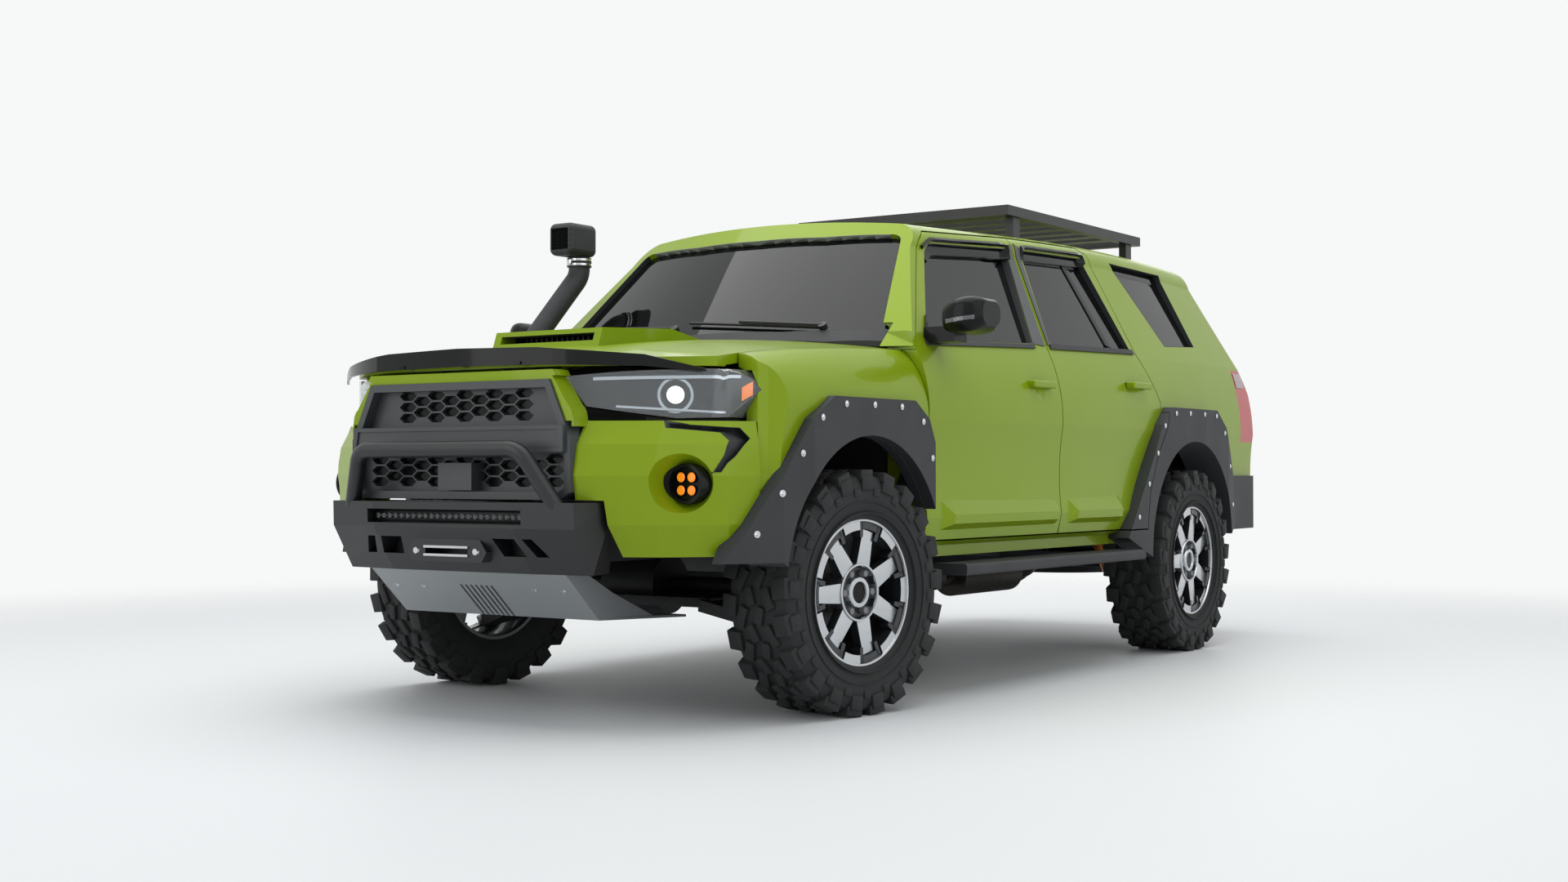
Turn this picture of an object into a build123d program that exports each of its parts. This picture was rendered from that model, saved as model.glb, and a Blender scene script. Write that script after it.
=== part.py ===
"""Lifted five-door sport utility vehicle: one STEP file per separate piece.

Millimetres. +X forward, +Y left, +Z up; the origin is on the floor under the middle of the bounding box.
"""
import os
from math import cos, radians, sin

from build123d import *

os.makedirs("parts", exist_ok=True)

# wheels and axles
FRONT_AXLE_X = 1410
REAR_AXLE_X = -1380
HUB_Z = 405
TYRE_R = 405
RIM_R = 233
WHEEL_Y = 820
TYRE_HALF_W = 140
KINGPIN_Y = 735
STEER_AT_REST = -8
FRONT_ARCH_R = 472
REAR_ARCH_R = 490

# body walls
DOOR_T = 58
SHUT_GAP = 6
LID_GAP = 16
WALL_T = 104
FLOOR_T = 34
CABIN_BOTTOM_Z = 540
CABIN_FRONT_X = 990
SKIN_Y = 935
FLARE_Y = 958
RACK_HOLE_R = 5.5
RUNNING_GAP = 0.3
SPIGOT_R = 32
BALL_PIN_R = 12

# windshield: base and top points on the centre line, and its radius across the car
SHIELD_BASE = (1150, 1290)
SHIELD_TOP = (700, 1713)
SHIELD_R = 2800

# cabin stations: x, half width, belt height, roof edge y, roof edge z, crown z
CABIN = [
    (1260, 926, 1238, 612, 1722, 1752),
    (500, 930, 1262, 620, 1740, 1774),
    (-600, 928, 1288, 634, 1786, 1820),
    (-1500, 905, 1306, 618, 1798, 1830),
    (-2460, 862, 1312, 570, 1778, 1806),
]

# nose stations: x, half width, fender crest z, hood crown z
NOSE = [
    (900, 927, 1232, 1298),
    (1450, 934, 1212, 1268),
    (1950, 915, 1168, 1220),
    (2360, 850, 1105, 1156),
]

# outlines seen from the side, (x, z)
FRONT_DOOR = [(984, 562), (984, 1232), (905, 1320), (585, 1672), (520, 1712), (-160, 1756), (-62, 1290),
              (-66, 562)]
REAR_DOOR = [(-72, 562), (-68, 1290), (-166, 1756), (-800, 1778), (-862, 1755), (-950, 1310), (-1085, 1110),
             (-1060, 1010), (-950, 880), (-862, 720), (-835, 562)]
FRONT_WINDOW = [(880, 1272), (575, 1628), (520, 1668), (-98, 1706), (52, 1306)]
REAR_WINDOW = [(-112, 1312), (-224, 1712), (-790, 1730), (-900, 1332)]
QUARTER_WINDOW = [(-1350, 1372), (-1090, 1738), (-1690, 1736), (-1752, 1392)]
TAIL_LINE = [(-1995, 1900), (-1995, 1812), (-2052, 1790), (-2275, 1305), (-2330, 1185), (-2345, 800),
             (-2300, 480)]


def side(points, y0, y1, radius=0):
    """A side-view outline (x, z) carried across from y0 to y1."""
    return Pos(0, y0, 0) * extrude(Plane.XZ * outline(points, radius), y1 - y0, dir=(0, 1, 0))


def plan(points, z0, z1, radius=0):
    """A plan outline (x, y) carried up from z0 to z1."""
    return Pos(0, 0, z0) * extrude(outline(points, radius), z1 - z0)


def front(points, x0, x1, radius=0):
    """A front-view outline (y, z) carried along from x0 to x1."""
    return Pos(x0, 0, 0) * extrude(Plane.YZ * outline(points, radius), x1 - x0, dir=(1, 0, 0))


def outline(points, radius=0):
    if radius:
        return make_face(FilletPolyline(*points, radius=radius, close=True))
    return make_face(Polyline(*points, close=True))


def box(x0, x1, y0, y1, z0, z1):
    """A box between two corners."""
    return Pos((x0 + x1) / 2, (y0 + y1) / 2, (z0 + z1) / 2) * Box(abs(x1 - x0), abs(y1 - y0), abs(z1 - z0))


def rod(a, b, radius, hole=0):
    """A round bar from a to b, hollow when a hole radius is given."""
    a, b = Vector(*a), Vector(*b)
    axis = b - a
    at = Plane(a, z_dir=axis)
    bar = extrude(at * Circle(radius), axis.length)
    return bar - extrude(at * Circle(hole), axis.length) if hole else bar


def pipe(points, radius, bend):
    """A round tube along a bent path."""
    path = FilletPolyline(*points, radius=bend)
    start = Plane(path @ 0, z_dir=path % 0)
    return sweep(start * Circle(radius), path=path)


def both(shape):
    """A left piece with its mirrored right piece."""
    return shape + mirror(shape, about=Plane.XZ)


def flip(shape):
    return mirror(shape, about=Plane.XZ)


def solids(*shapes):
    """Several separate solids as one piece."""
    return Compound(children=[solid for shape in shapes for solid in shape.solids()])


def ring(start, steps, crown):
    """A closed cross-section: the left half from the bottom up, mirrored, with a crowned top."""
    edges, at = [], start
    for step in steps:
        edges.append(ThreePointArc(at, *step) if len(step) == 2 else Line(at, step[0]))
        at = step[-1]
    left = Curve() + edges
    top = ThreePointArc(at, (0, crown), (-at[0], at[1]))
    bottom = Line((-start[0], start[1]), start)
    return make_face(left + [top] + mirror(left, about=Plane.YZ) + [bottom])


def cabin_ring(width, belt, roof_y, roof_z, crown, inset):
    width, roof_y, roof_z, crown = width - inset, roof_y - inset, roof_z - inset, crown - inset
    low = min(inset, FLOOR_T)
    return ring((width - 60, CABIN_BOTTOM_Z + low), [
        [(width - 26, 556 + low)],
        [(width - 8, 640)],
        [(width - 17, 800), (width, 985)],
        [(width - 12, 1130), (width - 60, belt)],
        [(roof_y + 42, roof_z - 90)],
        [(roof_y + 8, roof_z - 22), (roof_y - 60, roof_z + 6)],
    ], crown)


def nose_ring(width, fender, hood, inset):
    width, fender, hood = width - inset, fender - inset, hood - inset
    return ring((width - 60, CABIN_BOTTOM_Z), [
        [(width - 12, 640)],
        [(width - 14, 800), (width, 985 - inset)],
        [(width - 22, 1110 - inset), (width - 105, fender)],
    ], hood)


def lofted(table, section, inset):
    return loft([Plane.YZ.offset(x) * section(*sizes, inset) for x, *sizes in table])


def shield_drum(inset=0):
    """The drum whose front is the windshield's outer face."""
    (x0, z0), (x1, z1) = SHIELD_BASE, SHIELD_TOP
    slope = Vector(x1 - x0, 0, z1 - z0).normalized()
    normal = Vector(slope.Z, 0, -slope.X)
    centre = Vector(x0, 0, z0) - normal * SHIELD_R - slope * 2500
    return extrude(Plane(centre, z_dir=slope) * Circle(SHIELD_R - inset), 6000)


def cabin(inset=0, tail=0):
    """The closed cabin form, inset all round."""
    form = lofted(CABIN, cabin_ring, inset)
    front_x = CABIN_FRONT_X - min(inset, FLOOR_T)
    low = box(-2600, front_x, -1100, 1100, 400, 1300)
    high = shield_drum(inset) & box(-2600, 1200, -1100, 1100, 1245 + min(inset, FLOOR_T), 2000)
    rear = [(x + tail, z) for x, z in TAIL_LINE]
    back = side(rear + [(1400, 480), (1400, 1900)], -1100, 1100)
    return form & (low + high) & back


def nose_plan(inset=0):
    """The plan of the front end: a flat middle and swept corners."""
    left = Line((880, 1100), (1700, 1100)) + Line((1700, 1100), (1905, 880))
    left += ThreePointArc((1905, 880), (2165, 648), (2305, 372))
    nose = ThreePointArc((2305, 372), (2325, 0), (2305, -372))
    face = make_face(left + [nose] + mirror(left, about=Plane.XZ) + [Line((880, -1100), (880, 1100))])
    return offset(face, -inset, kind=Kind.INTERSECTION) if inset else face


def nose(inset=0):
    """The closed form of hood and fenders, inset all round."""
    return lofted(NOSE, nose_ring, inset) & extrude(nose_plan(inset), 2000)


def arch(axle_x, radius, rise, y0, y1):
    """The room a wheel needs: two discs, one above the other, joined."""
    low, high = (Plane.XZ * Pos(axle_x, HUB_Z + dz) * Circle(radius) for dz in (0, rise))
    joined = low + high + Plane.XZ * Pos(axle_x, HUB_Z + rise / 2) * Rectangle(2 * radius, rise)
    return Pos(0, y0, 0) * extrude(joined, y1 - y0, dir=(0, 1, 0))


def grown(points, amount):
    return offset(make_face(Polyline(*points, close=True)), amount, kind=Kind.INTERSECTION)


def side_face(face, y0, y1):
    return Pos(0, y0, 0) * extrude(Plane.XZ * face, y1 - y0, dir=(0, 1, 0))


def slanted(points, slope):
    """A side-view outline at the skin, carried inward while it shifts forward."""
    return Pos(0, SKIN_Y, 0) * extrude(Plane.XZ * outline(points), 600,
                                       dir=Vector(slope, -1, 0).normalized())


OUTER = cabin()
DOOR_BACK = lofted(CABIN, cabin_ring, DOOR_T)
FRAME_FACE = lofted(CABIN, cabin_ring, DOOR_T + SHUT_GAP)
INNER = cabin(WALL_T, tail=66)
SHELL = OUTER - INNER
DOOR_LAYER = OUTER - DOOR_BACK
PANE_LAYER = cabin(20) - cabin(26)
NOSE_OUT = nose()
FRONT_ARCHES = both(arch(FRONT_AXLE_X, FRONT_ARCH_R, 45, 450, 1100))
REAR_ARCHES = both(arch(REAR_AXLE_X, REAR_ARCH_R, 45, 660, 1100))


def shield_prism(grow):
    """The windshield's outline carried through the front wall."""
    (x0, z0), (x1, z1) = SHIELD_BASE, SHIELD_TOP
    slope = Vector(x1 - x0, 0, z1 - z0).normalized()
    at = Plane((x0, 0, z0), x_dir=(0, 1, 0), z_dir=Vector(slope.Z, 0, -slope.X))
    half = [(0, 28 - grow), (380, 54 - grow), (738 + grow, 122 - grow), (604 + grow, 660 + grow),
            (300, 612 + grow),
            (0, 600 + grow)]
    points = half + [(-y, s) for y, s in reversed(half[1:-1])]
    if (at.y_dir - slope).length > 1:
        points = [(y, -s) for y, s in points]
    return extrude(at * outline(points, 40), 300, both=True)


SHIELD_GLASS = (shield_drum(20) - shield_drum(26)) & shield_prism(12)


def door_zone(name):
    """The room of a left door, with its trailing face slanted so that it swings clear."""
    wall = front([(800, 400), (800, 1230), (588, 1640), (588, 1800), (1100, 1800), (1100, 400)], -1300,
                 1000)
    if name == "front":
        cut = [(-66, 400), (-79, 1290), (-239, 1756), (-300, 2000), (1500, 2000), (1500, 400)]
        return side(FRONT_DOOR, 590, 1100) & slanted(cut, 0.25) & wall
    cut = [(-840, 400), (-841, 562), (-868, 720), (-956, 880), (-1067, 1010), (-1094, 1110), (-980, 1310),
           (-978, 1755), (-930, 1900), (1500, 1900), (1500, 400)]
    return side(REAR_DOOR, 590, 1100) & slanted(cut, 0.4) & wall


# bulge along the foot of each left door: foremost and rearmost x
DOOR_BULGE = {"front": (900, -36), "rear": (-112, -640)}
BULGE_SECTION = [(880, 574), (942, 618), (946, 650), (880, 760)]
BOWL_R, BOWL_DEPTH = 130, 12


def door_bulge(name):
    ahead, behind = DOOR_BULGE[name]
    full = [(x, y, z) for x in (ahead - 70, behind + 30) for y, z in BULGE_SECTION]
    return ConvexPolyhedron(full + [(x, 900, z) for x in (ahead, behind) for z in (590, 720)]) - OUTER


BELT_Z = 1290
FRAME_SEAT = box(-300, 1100, 400, 1100, BELT_Z, BELT_Z + RUNNING_GAP)


def door(name, window):
    """A left door; the front one's window frame is a second solid, seated on the shell where its rear edge bends."""
    layer = (DOOR_LAYER & door_zone(name)) + door_bulge(name)
    handle_x, handle_z = {"front": (110, 1142), "rear": (-820, 1172)}[name]
    bar = fillet(box(handle_x - 95, handle_x + 95, 905, 948, handle_z - 14, handle_z + 14).edges(), 8)
    bar -= box(handle_x - 62, handle_x + 62, 900, 932, handle_z - 20, handle_z + 20)
    bowl = Pos(handle_x, SKIN_Y - 10 - BOWL_DEPTH + BOWL_R, handle_z) * Sphere(BOWL_R)
    pane = door_glass(window)
    shape = layer - bowl + (bar - OUTER) - side(window, 400, 1100) - pane
    return shape - FRAME_SEAT if name == "front" else shape


def door_glass(window):
    return PANE_LAYER & side_face(grown(window, 12), 400, 1100)


FRONT_FLARE = [(994, 566), (994, 905), (1035, 985), (1130, 1046), (1640, 1046), (1770, 970), (1950, 720),
               (2080, 520), (1900, 520), (1700, 400), (1200, 400)]
REAR_FLARE = [(-640, 526), (-900, 860), (-1000, 1010), (-1110, 1088), (-1650, 1088), (-1775, 1010),
              (-1890, 800),
              (-1935, 560), (-1700, 400), (-1000, 400)]
FLARE_PLAN = [(-2100, 700), (-2100, 905), (-1800, 948), (-1500, FLARE_Y), (1760, FLARE_Y), (1900, 935),
              (2010, 880),
              (2130, 790), (2130, 700)]
BUMPER_PLAN = [(1700, 905), (1850, 905), (2060, 835), (2235, 690), (2352, 480), (2392, 250)]
# bumper sections: z, how far the front is set back, how much narrower
BUMPER = [(520, 88, 34), (640, 22, 6), (790, 0, 0), (885, 16, 4), (962, 62, 10)]
FOG_Y, FOG_Z, FOG_R = 735, 765, 62
# dark slot beside the fog lamp in front view, (y, z)
BUMPER_SLOT = [(690, 950), (838, 938), (856, 905), (842, 850), (822, 800), (806, 800), (824, 852),
               (830, 898), (806, 922),
               (690, 936)]


def flares():
    """Left flares: front on the fender, rear split where the rear door ends."""
    sheet = plan(FLARE_PLAN, 400, 1200)
    room = arch(FRONT_AXLE_X, FRONT_ARCH_R, 45, 450, 1100) + arch(REAR_AXLE_X, REAR_ARCH_R, 45, 450, 1100)
    fore = (side(FRONT_FLARE, 790, 1000) & sheet) - room - NOSE_OUT - bumper_form()
    aft = (side(REAR_FLARE, 862, 1000) & sheet) - room - OUTER
    on_door = side(REAR_DOOR, 780, 1100)
    quarter = aft - side_face(grown(REAR_DOOR, SHUT_GAP), 700, 1100)
    return fore, quarter, aft & on_door


def bumper_section(back, narrow):
    """Half of the bumper's plan: its front is set back, its sides narrowed."""
    return [(x - back * min(1, (x - 1850) / 300) if x > 1850 else x, y - narrow) for x, y in BUMPER_PLAN]


def bumper_form(inset=0):
    """The closed form of the front bumper, inset all round in plan."""
    faces = []
    for z, back, narrow in BUMPER:
        half = bumper_section(back, narrow)
        points = half + [(x, -y) for x, y in reversed(half)]
        faces.append(Pos(0, 0, z) * grown(points, -inset) if inset else Pos(0, 0, z) * outline(points))
    return loft(faces, ruled=True)


HOOD_REAR = [(1022, 782), (1100, 560), (1152, 300), (1172, 0)]
HOOD_ZONE = HOOD_REAR + [(x, -y) for x, y in reversed(HOOD_REAR[:-1])] + [(2500, -782), (2500, 782)]
LAMP = [(392, 1096), (456, 1003), (695, 966), (805, 970), (868, 1056), (838, 1118), (772, 1120),
        (560, 1110)]


HOOD_T = 28
HOOD_STOPS = (1300, 1640)


def hood():
    layer = NOSE_OUT - nose(HOOD_T)
    lid = layer & plan(HOOD_ZONE, 1128, 1400)
    scoop = ConvexPolyhedron([(x, y, z) for y in (-235, 235) for x,
                              z in ((1960, 1196), (1930, 1278), (1560, 1296),
                                                                        (1360, 1262), (1360, 1240))])
    mouth = box(1850, 2100, -205, 205, 1236, 1262)
    return lid + ((scoop - mouth) - nose(14))


def fenders():
    layer = NOSE_OUT - nose(36)
    skin = layer & box(990, 1935, -1000, 1000, 545, 1400)
    skin -= extrude(Pos(0, 0, 900) * grown(HOOD_ZONE, SHUT_GAP), 500)
    skin -= both(front(LAMP, 1800, 2400))
    skin = skin - FRONT_ARCHES - OUTER - side(FRONT_DOOR, -1100, 1100)
    stops = Part() + [box(x - 20, x + 20, 755, 800, 1100, 1300) for x in HOOD_STOPS]
    return Part() + skin.solids().sort_by(SortBy.VOLUME)[-2:] + both(stops & nose(HOOD_T + RUNNING_GAP))


def headlamp():
    body = front(LAMP, 1800, 2400) & lofted(NOSE, nose_ring, 34)
    return body & (extrude(nose_plan(), 2000) - extrude(nose_plan(100), 2000))


# the grille and the painted surround above it in front view, (y, z)
GRILLE = [(-385, 1085), (385, 1085), (470, 905), (470, 740), (430, 716), (-430, 716), (-470, 740),
          (-470, 905)]
GRILLE_SURROUND = [(-394, 1116), (394, 1116), (470, 985), (478, 940), (-478, 940), (-470, 985)]


def bumper_cover():
    cover = bumper_form() - bumper_form(55) - FRONT_ARCHES
    cover -= front([(-470, 1200), (470, 1200), (470, 716), (548, 714), (560, 400), (-560, 400), (-548, 714),
                    (-470, 716)],
                   1900, 2600)
    bowl = Plane((2075, FOG_Y - 30, FOG_Z), z_dir=(0.86, 0.51, 0)) * Pos(0, 0, 95) * Cone(40, 150, 190)
    slot = front(BUMPER_SLOT, 1900, 2500) & (bumper_form() - bumper_form(34))
    cover -= both(rod((1950, FOG_Y, FOG_Z), (2600, FOG_Y, FOG_Z), FOG_R) + bowl + slot)
    brow = front(GRILLE_SURROUND, 2288, 2360) - Pos(2200, 0, 0) * extrude(Plane.YZ * grown(GRILLE, 1), 300,
        dir=(1, 0, 0))
    brow -= both(front(LAMP, 1800, 2500)) + box(2200, 2500, -470, 470, 700, 957)
    return (cover & box(1941, 2600, -1000, 1000, 540, 958)) + brow


def fog_lamps():
    """Round pods in the bumper's bores, with a raised rim round four small lamps."""
    pod = rod((2040, FOG_Y, FOG_Z), (2140, FOG_Y, FOG_Z), FOG_R - RUNNING_GAP)
    pod -= rod((2128, FOG_Y, FOG_Z), (2150, FOG_Y, FOG_Z), FOG_R - 10)
    lamps = [rod((2120, FOG_Y + dy, FOG_Z + dz), (2136, FOG_Y + dy, FOG_Z + dz), 17) for dy in (-20, 20)
             for dz in (-20, 20)]
    return both(pod + lamps)


# grille pockets: lowest row z, rows, half width of the row, and cell sizes
GRILLE_ROWS = [(958, 3, 340), (752, 3, 420)]
CELL_W, CELL_H, CELL_WALL = 84, 36, 6


def grille_cells():
    """Long hexagons in staggered rows, in front view."""
    wide, tall = CELL_W - CELL_WALL, CELL_H - CELL_WALL
    cell = make_face(Polyline((-wide / 2, 0), (-wide / 4, tall / 2), (wide / 4, tall / 2), (wide / 2, 0),
                              (wide / 4, -tall / 2), (-wide / 4, -tall / 2), close=True))
    places = []
    for low, rows, half in GRILLE_ROWS:
        for row in range(2 * rows - 1):
            shift = CELL_W * 0.75 if row % 2 else 0
            count = int((half - CELL_W / 2 - shift) // (CELL_W * 1.5))
            steps = range(-count - (row % 2), count + 1)
            places += [(shift + i * CELL_W * 1.5, low + CELL_H / 2 + row * CELL_H / 2) for i in steps]
    return [Pos(y, z) * cell for y, z in places]


def grille():
    plate = front(GRILLE, 2296, 2368) - Pos(2330, 0, 0) * extrude(Plane.YZ * grown(GRILLE, -24), 100,
                                                                  dir=(1, 0, 0))
    pockets = Pos(2312, 0, 0) * extrude(Plane.YZ * (Sketch() + grille_cells()), 40, dir=(1, 0, 0))
    bar = box(2310, 2382, -452, 452, 862, 944)
    bar -= front([(-440, 874), (440, 874), (430, 932), (-430, 932)], 2376, 2400)
    block = box(2310, 2376, -72, 72, 744, 830)
    return (plate - pockets) + bar + block


def winch_bumper():
    corners = [(2408, 517, 708), (2440, 300, 708), (2404, 519, 628), (2436, 300, 628), (2318, 521, 486),
               (2345, 300, 486),
               (2240, 540, 708), (2180, 470, 486), (2180, 470, 708)]
    beam = ConvexPolyhedron([(x, y * s, z) for x, y, z in corners for s in (1, -1)])
    hoop = pipe([(2392, 441, 690), (2456, 343, 872), (2456, -343, 872), (2392, -441, 690)], 26, 70)
    slot = box(2392, 2500, -330, 330, 640, 684)
    rope = box(2340, 2500, -92, 92, 540, 566)
    vents = both(front([(196, 596), (286, 596), (310, 540), (216, 540)], 2330, 2500)
                 + front([(316, 596), (352, 596), (392, 540), (346, 540)], 2330, 2500))
    plate = front([(-150, 520), (150, 520), (170, 552), (140, 592), (-140, 592), (-170, 552)], 2372, 2412)
    return (beam + plate - slot - rope - vents) + hoop


def skid_plate():
    line = [(2318, 486), (2165, 345), (1720, 330), (1720, 322), (2168, 337), (2328, 486)]
    louvres = [box(2160, 2290, y - 5, y + 5, 300, 440) for y in range(-66, 67, 22)]
    wings = side([(2318, 486), (2165, 345), (1900, 338), (2100, 420), (2230, 486)], 414, 420)
    return side(line, -420, 420) - (Part() + louvres) + both(wings)


def ladder_frame():
    low = [(2180, 520), (1850, 520), (1650, 610), (1180, 610), (990, 420), (-860, 420), (-1040, 620),
           (-1800, 620),
           (-2000, 520), (-2270, 520)]
    rail = side(low + [(x, z + 105) for x, z in reversed(low)], 350, 432)
    bars = [box(x - 40, x + 40, -352, 352, z, z + 79) for x,
            z in ((2140, 530), (760, 349), (-120, 349), (-1010, 620),
                                                                 (-1900, 630))]
    hitch = box(-2440, -2240, -38, 38, 534, 610) - box(-2500, -2300, -25.5, 25.5, 546.5, 597.5)
    rear = box(-2270, -2190, -352, 352, 530, 615)
    tower = box(1335, 1455, 400, 566, 846, 866) + box(1335, 1455, 400, 432, 700, 866)
    pads = [box(x - 45, x + 45, 362, 420, 515, CABIN_BOTTOM_Z) for x in (700, -500)]
    return both(rail + tower + pads) + bars + rear + hitch


def floor_and_firewall():
    tub = (SHELL & box(-930, 1000, -760, 760, 500, 606)) - both(box(-1100, -840, 344, 438, 400, 740))
    wall = SHELL & box(940, 1000, -760, 760, 560, 1280)
    cowl = (SHELL & box(980, 1200, -760, 760, 1200, 1335)) - NOSE_OUT - extrude(Pos(0, 0,
        1150) * grown(HOOD_ZONE, SHUT_GAP), 400)
    deck = box(-2250, -920, -640, 640, 800, 830)
    riser = box(-950, -920, -640, 640, 545, 830) - both(box(-1100, -700, 344, 438, 400, 740))
    return tub + wall + cowl - shield_prism(0) - SHIELD_GLASS - FRONT_ARCHES + ((deck + riser) & OUTER)


def roof_panel():
    return (SHELL & box(-1989, 800, -560, 560, 1600, 1900)) - shield_prism(0) - SHIELD_GLASS


def side_frames():
    frame = SHELL - box(-2600, 940, -760, 760, 400, 640) - box(940, 1200, -760, 760, 400, 1335)
    frame -= box(-2600, 900, -560, 560, 1600, 2000)
    doors = Plane.XZ * (grown(FRONT_DOOR, SHUT_GAP) + grown(REAR_DOOR, SHUT_GAP) + outline(
        [(-50, 568), (-50, 1290), (-140, 1750), (-190, 1750), (-85, 1290), (-85, 568)]))
    for hand in (1, -1):
        zone = Pos(0, 560 * hand, 0) * extrude(doors, 600, dir=(0, hand, 0))
        frame -= zone - FRAME_FACE
    for points in (FRONT_DOOR, REAR_DOOR):
        frame -= side_face(grown(points, -46), -1100, 1100)
    frame -= side(QUARTER_WINDOW, -1100, 1100) + both(PANE_LAYER
                                                      & side_face(grown(QUARTER_WINDOW, 12), 400, 1100))
    frame -= shield_prism(0) + SHIELD_GLASS + REAR_ARCHES + FRONT_ARCHES + tailgate_room() + both(TAIL_LAMP_ROOM)
    sill = both(box(-840, 930, 770, 860, 500, 545))
    return frame + (sill - FRONT_ARCHES)


TAIL_PANEL_HALF = 640


def tail_panel(frames):
    """The cross panel under the tailgate, with the half width it has between the side frames."""
    return frames & box(-2600, -1900, -TAIL_PANEL_HALF, TAIL_PANEL_HALF, 400, 1000)


TAILGATE = [(-545, 1860), (545, 1860), (700, 1310), (735, 1180), (735, 800), (-735, 800), (-735, 1180),
            (-700, 1310)]
TAIL_WINDOW = [(-500, 1700), (500, 1700), (610, 1330), (-610, 1330)]


def tailgate_room():
    return Pos(-2700, 0, 0) * extrude(Plane.YZ * grown(TAILGATE, LID_GAP), 705, dir=(1, 0, 0)) & box(
        -2700, -1989, -900, 900, 794, 1900)


def tailgate():
    lid = OUTER & tail_band(0, 60) & front(TAILGATE, -2700, -1995)
    spoiler = side([(-1998, 1806), (-2130, 1776), (-2160, 1746), (-2060, 1748)], -520, 520)
    plate_bay = front([(-280, 930), (280, 930), (280, 1092), (-280, 1092)], -2700, -1995) & tail_band(-30,
        18)
    brow = front([(-300, 1098), (300, 1098), (290, 1136), (-290, 1136)], -2700, -1995) & tail_band(-14, 10)
    return lid + spoiler + (brow & box(-2482, -1995, -400, 400, 900, 1300)) - plate_bay - front(
        TAIL_WINDOW, -2700, -1900) - tail_glass()


def tail_band(near, far):
    """The layer between two depths behind the tail's outline."""
    return side([(x + near, z) for x, z in TAIL_LINE] + [(x + far, z) for x, z in reversed(TAIL_LINE)],
                -1100, 1100)


def tail_glass():
    return OUTER & tail_band(16, 22) & Pos(-2700, 0, 0) * extrude(Plane.YZ * grown(TAIL_WINDOW, 10), 800,
                                                                  dir=(1, 0, 0))


# tyre sections: y, radius
TYRE = [(-96, 238), (-132, 300), (-112, 390), (112, 390), (132, 300), (96, 238)]
LUGS = 15
LUG_LENGTH = 92
# the flat top of a lug, set so that the corners of the two lowest lugs stand on the floor
HALF_PITCH = radians(180 / LUGS)
LUG_TOP = (TYRE_R - LUG_LENGTH / 2 * sin(HALF_PITCH)) / cos(HALF_PITCH)
# a shoulder lug in section, (y, radius)
LUG = [(66, 380), (66, LUG_TOP), (124, LUG_TOP), (TYRE_HALF_W, 376), (134, 322), (110, 330)]


def tyre():
    """A many-sided carcass with lugs over both shoulders, staggered from side to side."""
    carcass = loft([Pos(0, y, 0) * (Plane.XZ * RegularPolygon(radius, 2 * LUGS)) for y, radius in TYRE],
                   ruled=True)
    lug = Pos(-LUG_LENGTH / 2, 0, 0) * extrude(Plane.YZ * outline(LUG), LUG_LENGTH, dir=(1, 0, 0))
    pitch = 360 / LUGS
    lugs = [Rot(0, pitch * (i + shift), 0) * shape for shape, shift in ((lug, 0), (flip(lug), 0.5))
            for i in range(LUGS)]
    return carcass + lugs - Rot(90, 0, 0) * Cylinder(RIM_R - 4, 400)


SPOKES = 7


def rim(hand):
    """A seven-spoke wheel about +Y, outboard face towards hand."""
    barrel = [(RIM_R - 12, -112), (RIM_R + 12, -112), (RIM_R - 4, -96), (RIM_R - 4, 96), (RIM_R + 12, 108),
              (RIM_R + 10, 116),
              (RIM_R + 2, 116), (RIM_R - 8, 92), (RIM_R - 26, 66), (RIM_R - 18, -98)]
    body = revolve(make_face(Polyline(*barrel, close=True)), Axis.Y)
    dish = [(0, 36), (98, 36), (98, 104), (87, 104), (84, 84), (54, 84), (51, 102), (34, 106), (0, 108)]
    hub = revolve(make_face(Polyline(*dish, close=True)), Axis.Y)
    blade = side([(90, -34), (RIM_R - 20, -27), (RIM_R - 20, 27), (90, 34)], 62, 100)
    arc_half = 360 / SPOKES / 2 - 14
    reach = 300
    fan = [(0, 0), *((reach * cos(radians(a)), reach * sin(radians(a))) for a in (-arc_half, 0, arc_half))]
    tab = (Circle(RIM_R - 6) - Circle(RIM_R - 30)) & outline(fan)
    tab = Pos(0, 74, 0) * extrude(Plane.XZ * Rot(0, 0, 180 / SPOKES) * tab, 38, dir=(0, 1, 0))
    for i in range(SPOKES):
        hub += Rot(0, 360 / SPOKES * i, 0) * (blade + tab)
    bore = Pos(0, 20, 0) * extrude(Plane.XZ * Circle(SPIGOT_R + RUNNING_GAP), 60, dir=(0, 1, 0))
    wheel = body + hub - bore
    return wheel if hand > 0 else mirror(wheel, about=Plane.XZ)


def steered(shape, hand):
    """A front-wheel piece turned to the angle it stands at."""
    pivot = Pos(FRONT_AXLE_X, KINGPIN_Y * hand, HUB_Z)
    return pivot * Rot(0, 0, STEER_AT_REST) * shape


def knuckle(hand):
    y = (WHEEL_Y - KINGPIN_Y) * hand
    post = rod((0, 0, -120), (0, 0, 120), 26)
    drum = rod((0, -18 * hand, 0), (0, y + 30 * hand, 0), 74) + rod((0, y - 55 * hand, 0),
                                                                    (0, y - 30 * hand, 0), 120)
    arm = box(-160, 12, -20, 20, -64, -36)
    spigot = rod((0, y, 0), (0, y + 72 * hand, 0), SPIGOT_R)
    sockets = rod((0, 0, -130), (0, 0, -92), BALL_PIN_R + RUNNING_GAP) + rod((0, 0, 92), (0, 0, 130),
        BALL_PIN_R + RUNNING_GAP)
    return steered(post + drum + arm + spigot - sockets, hand)


TAIL_LAMP_ROOM = box(-2400, -2150, 741, 1000, 950, 1300)


def tail_lamps():
    return both(DOOR_LAYER & TAIL_LAMP_ROOM)


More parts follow.
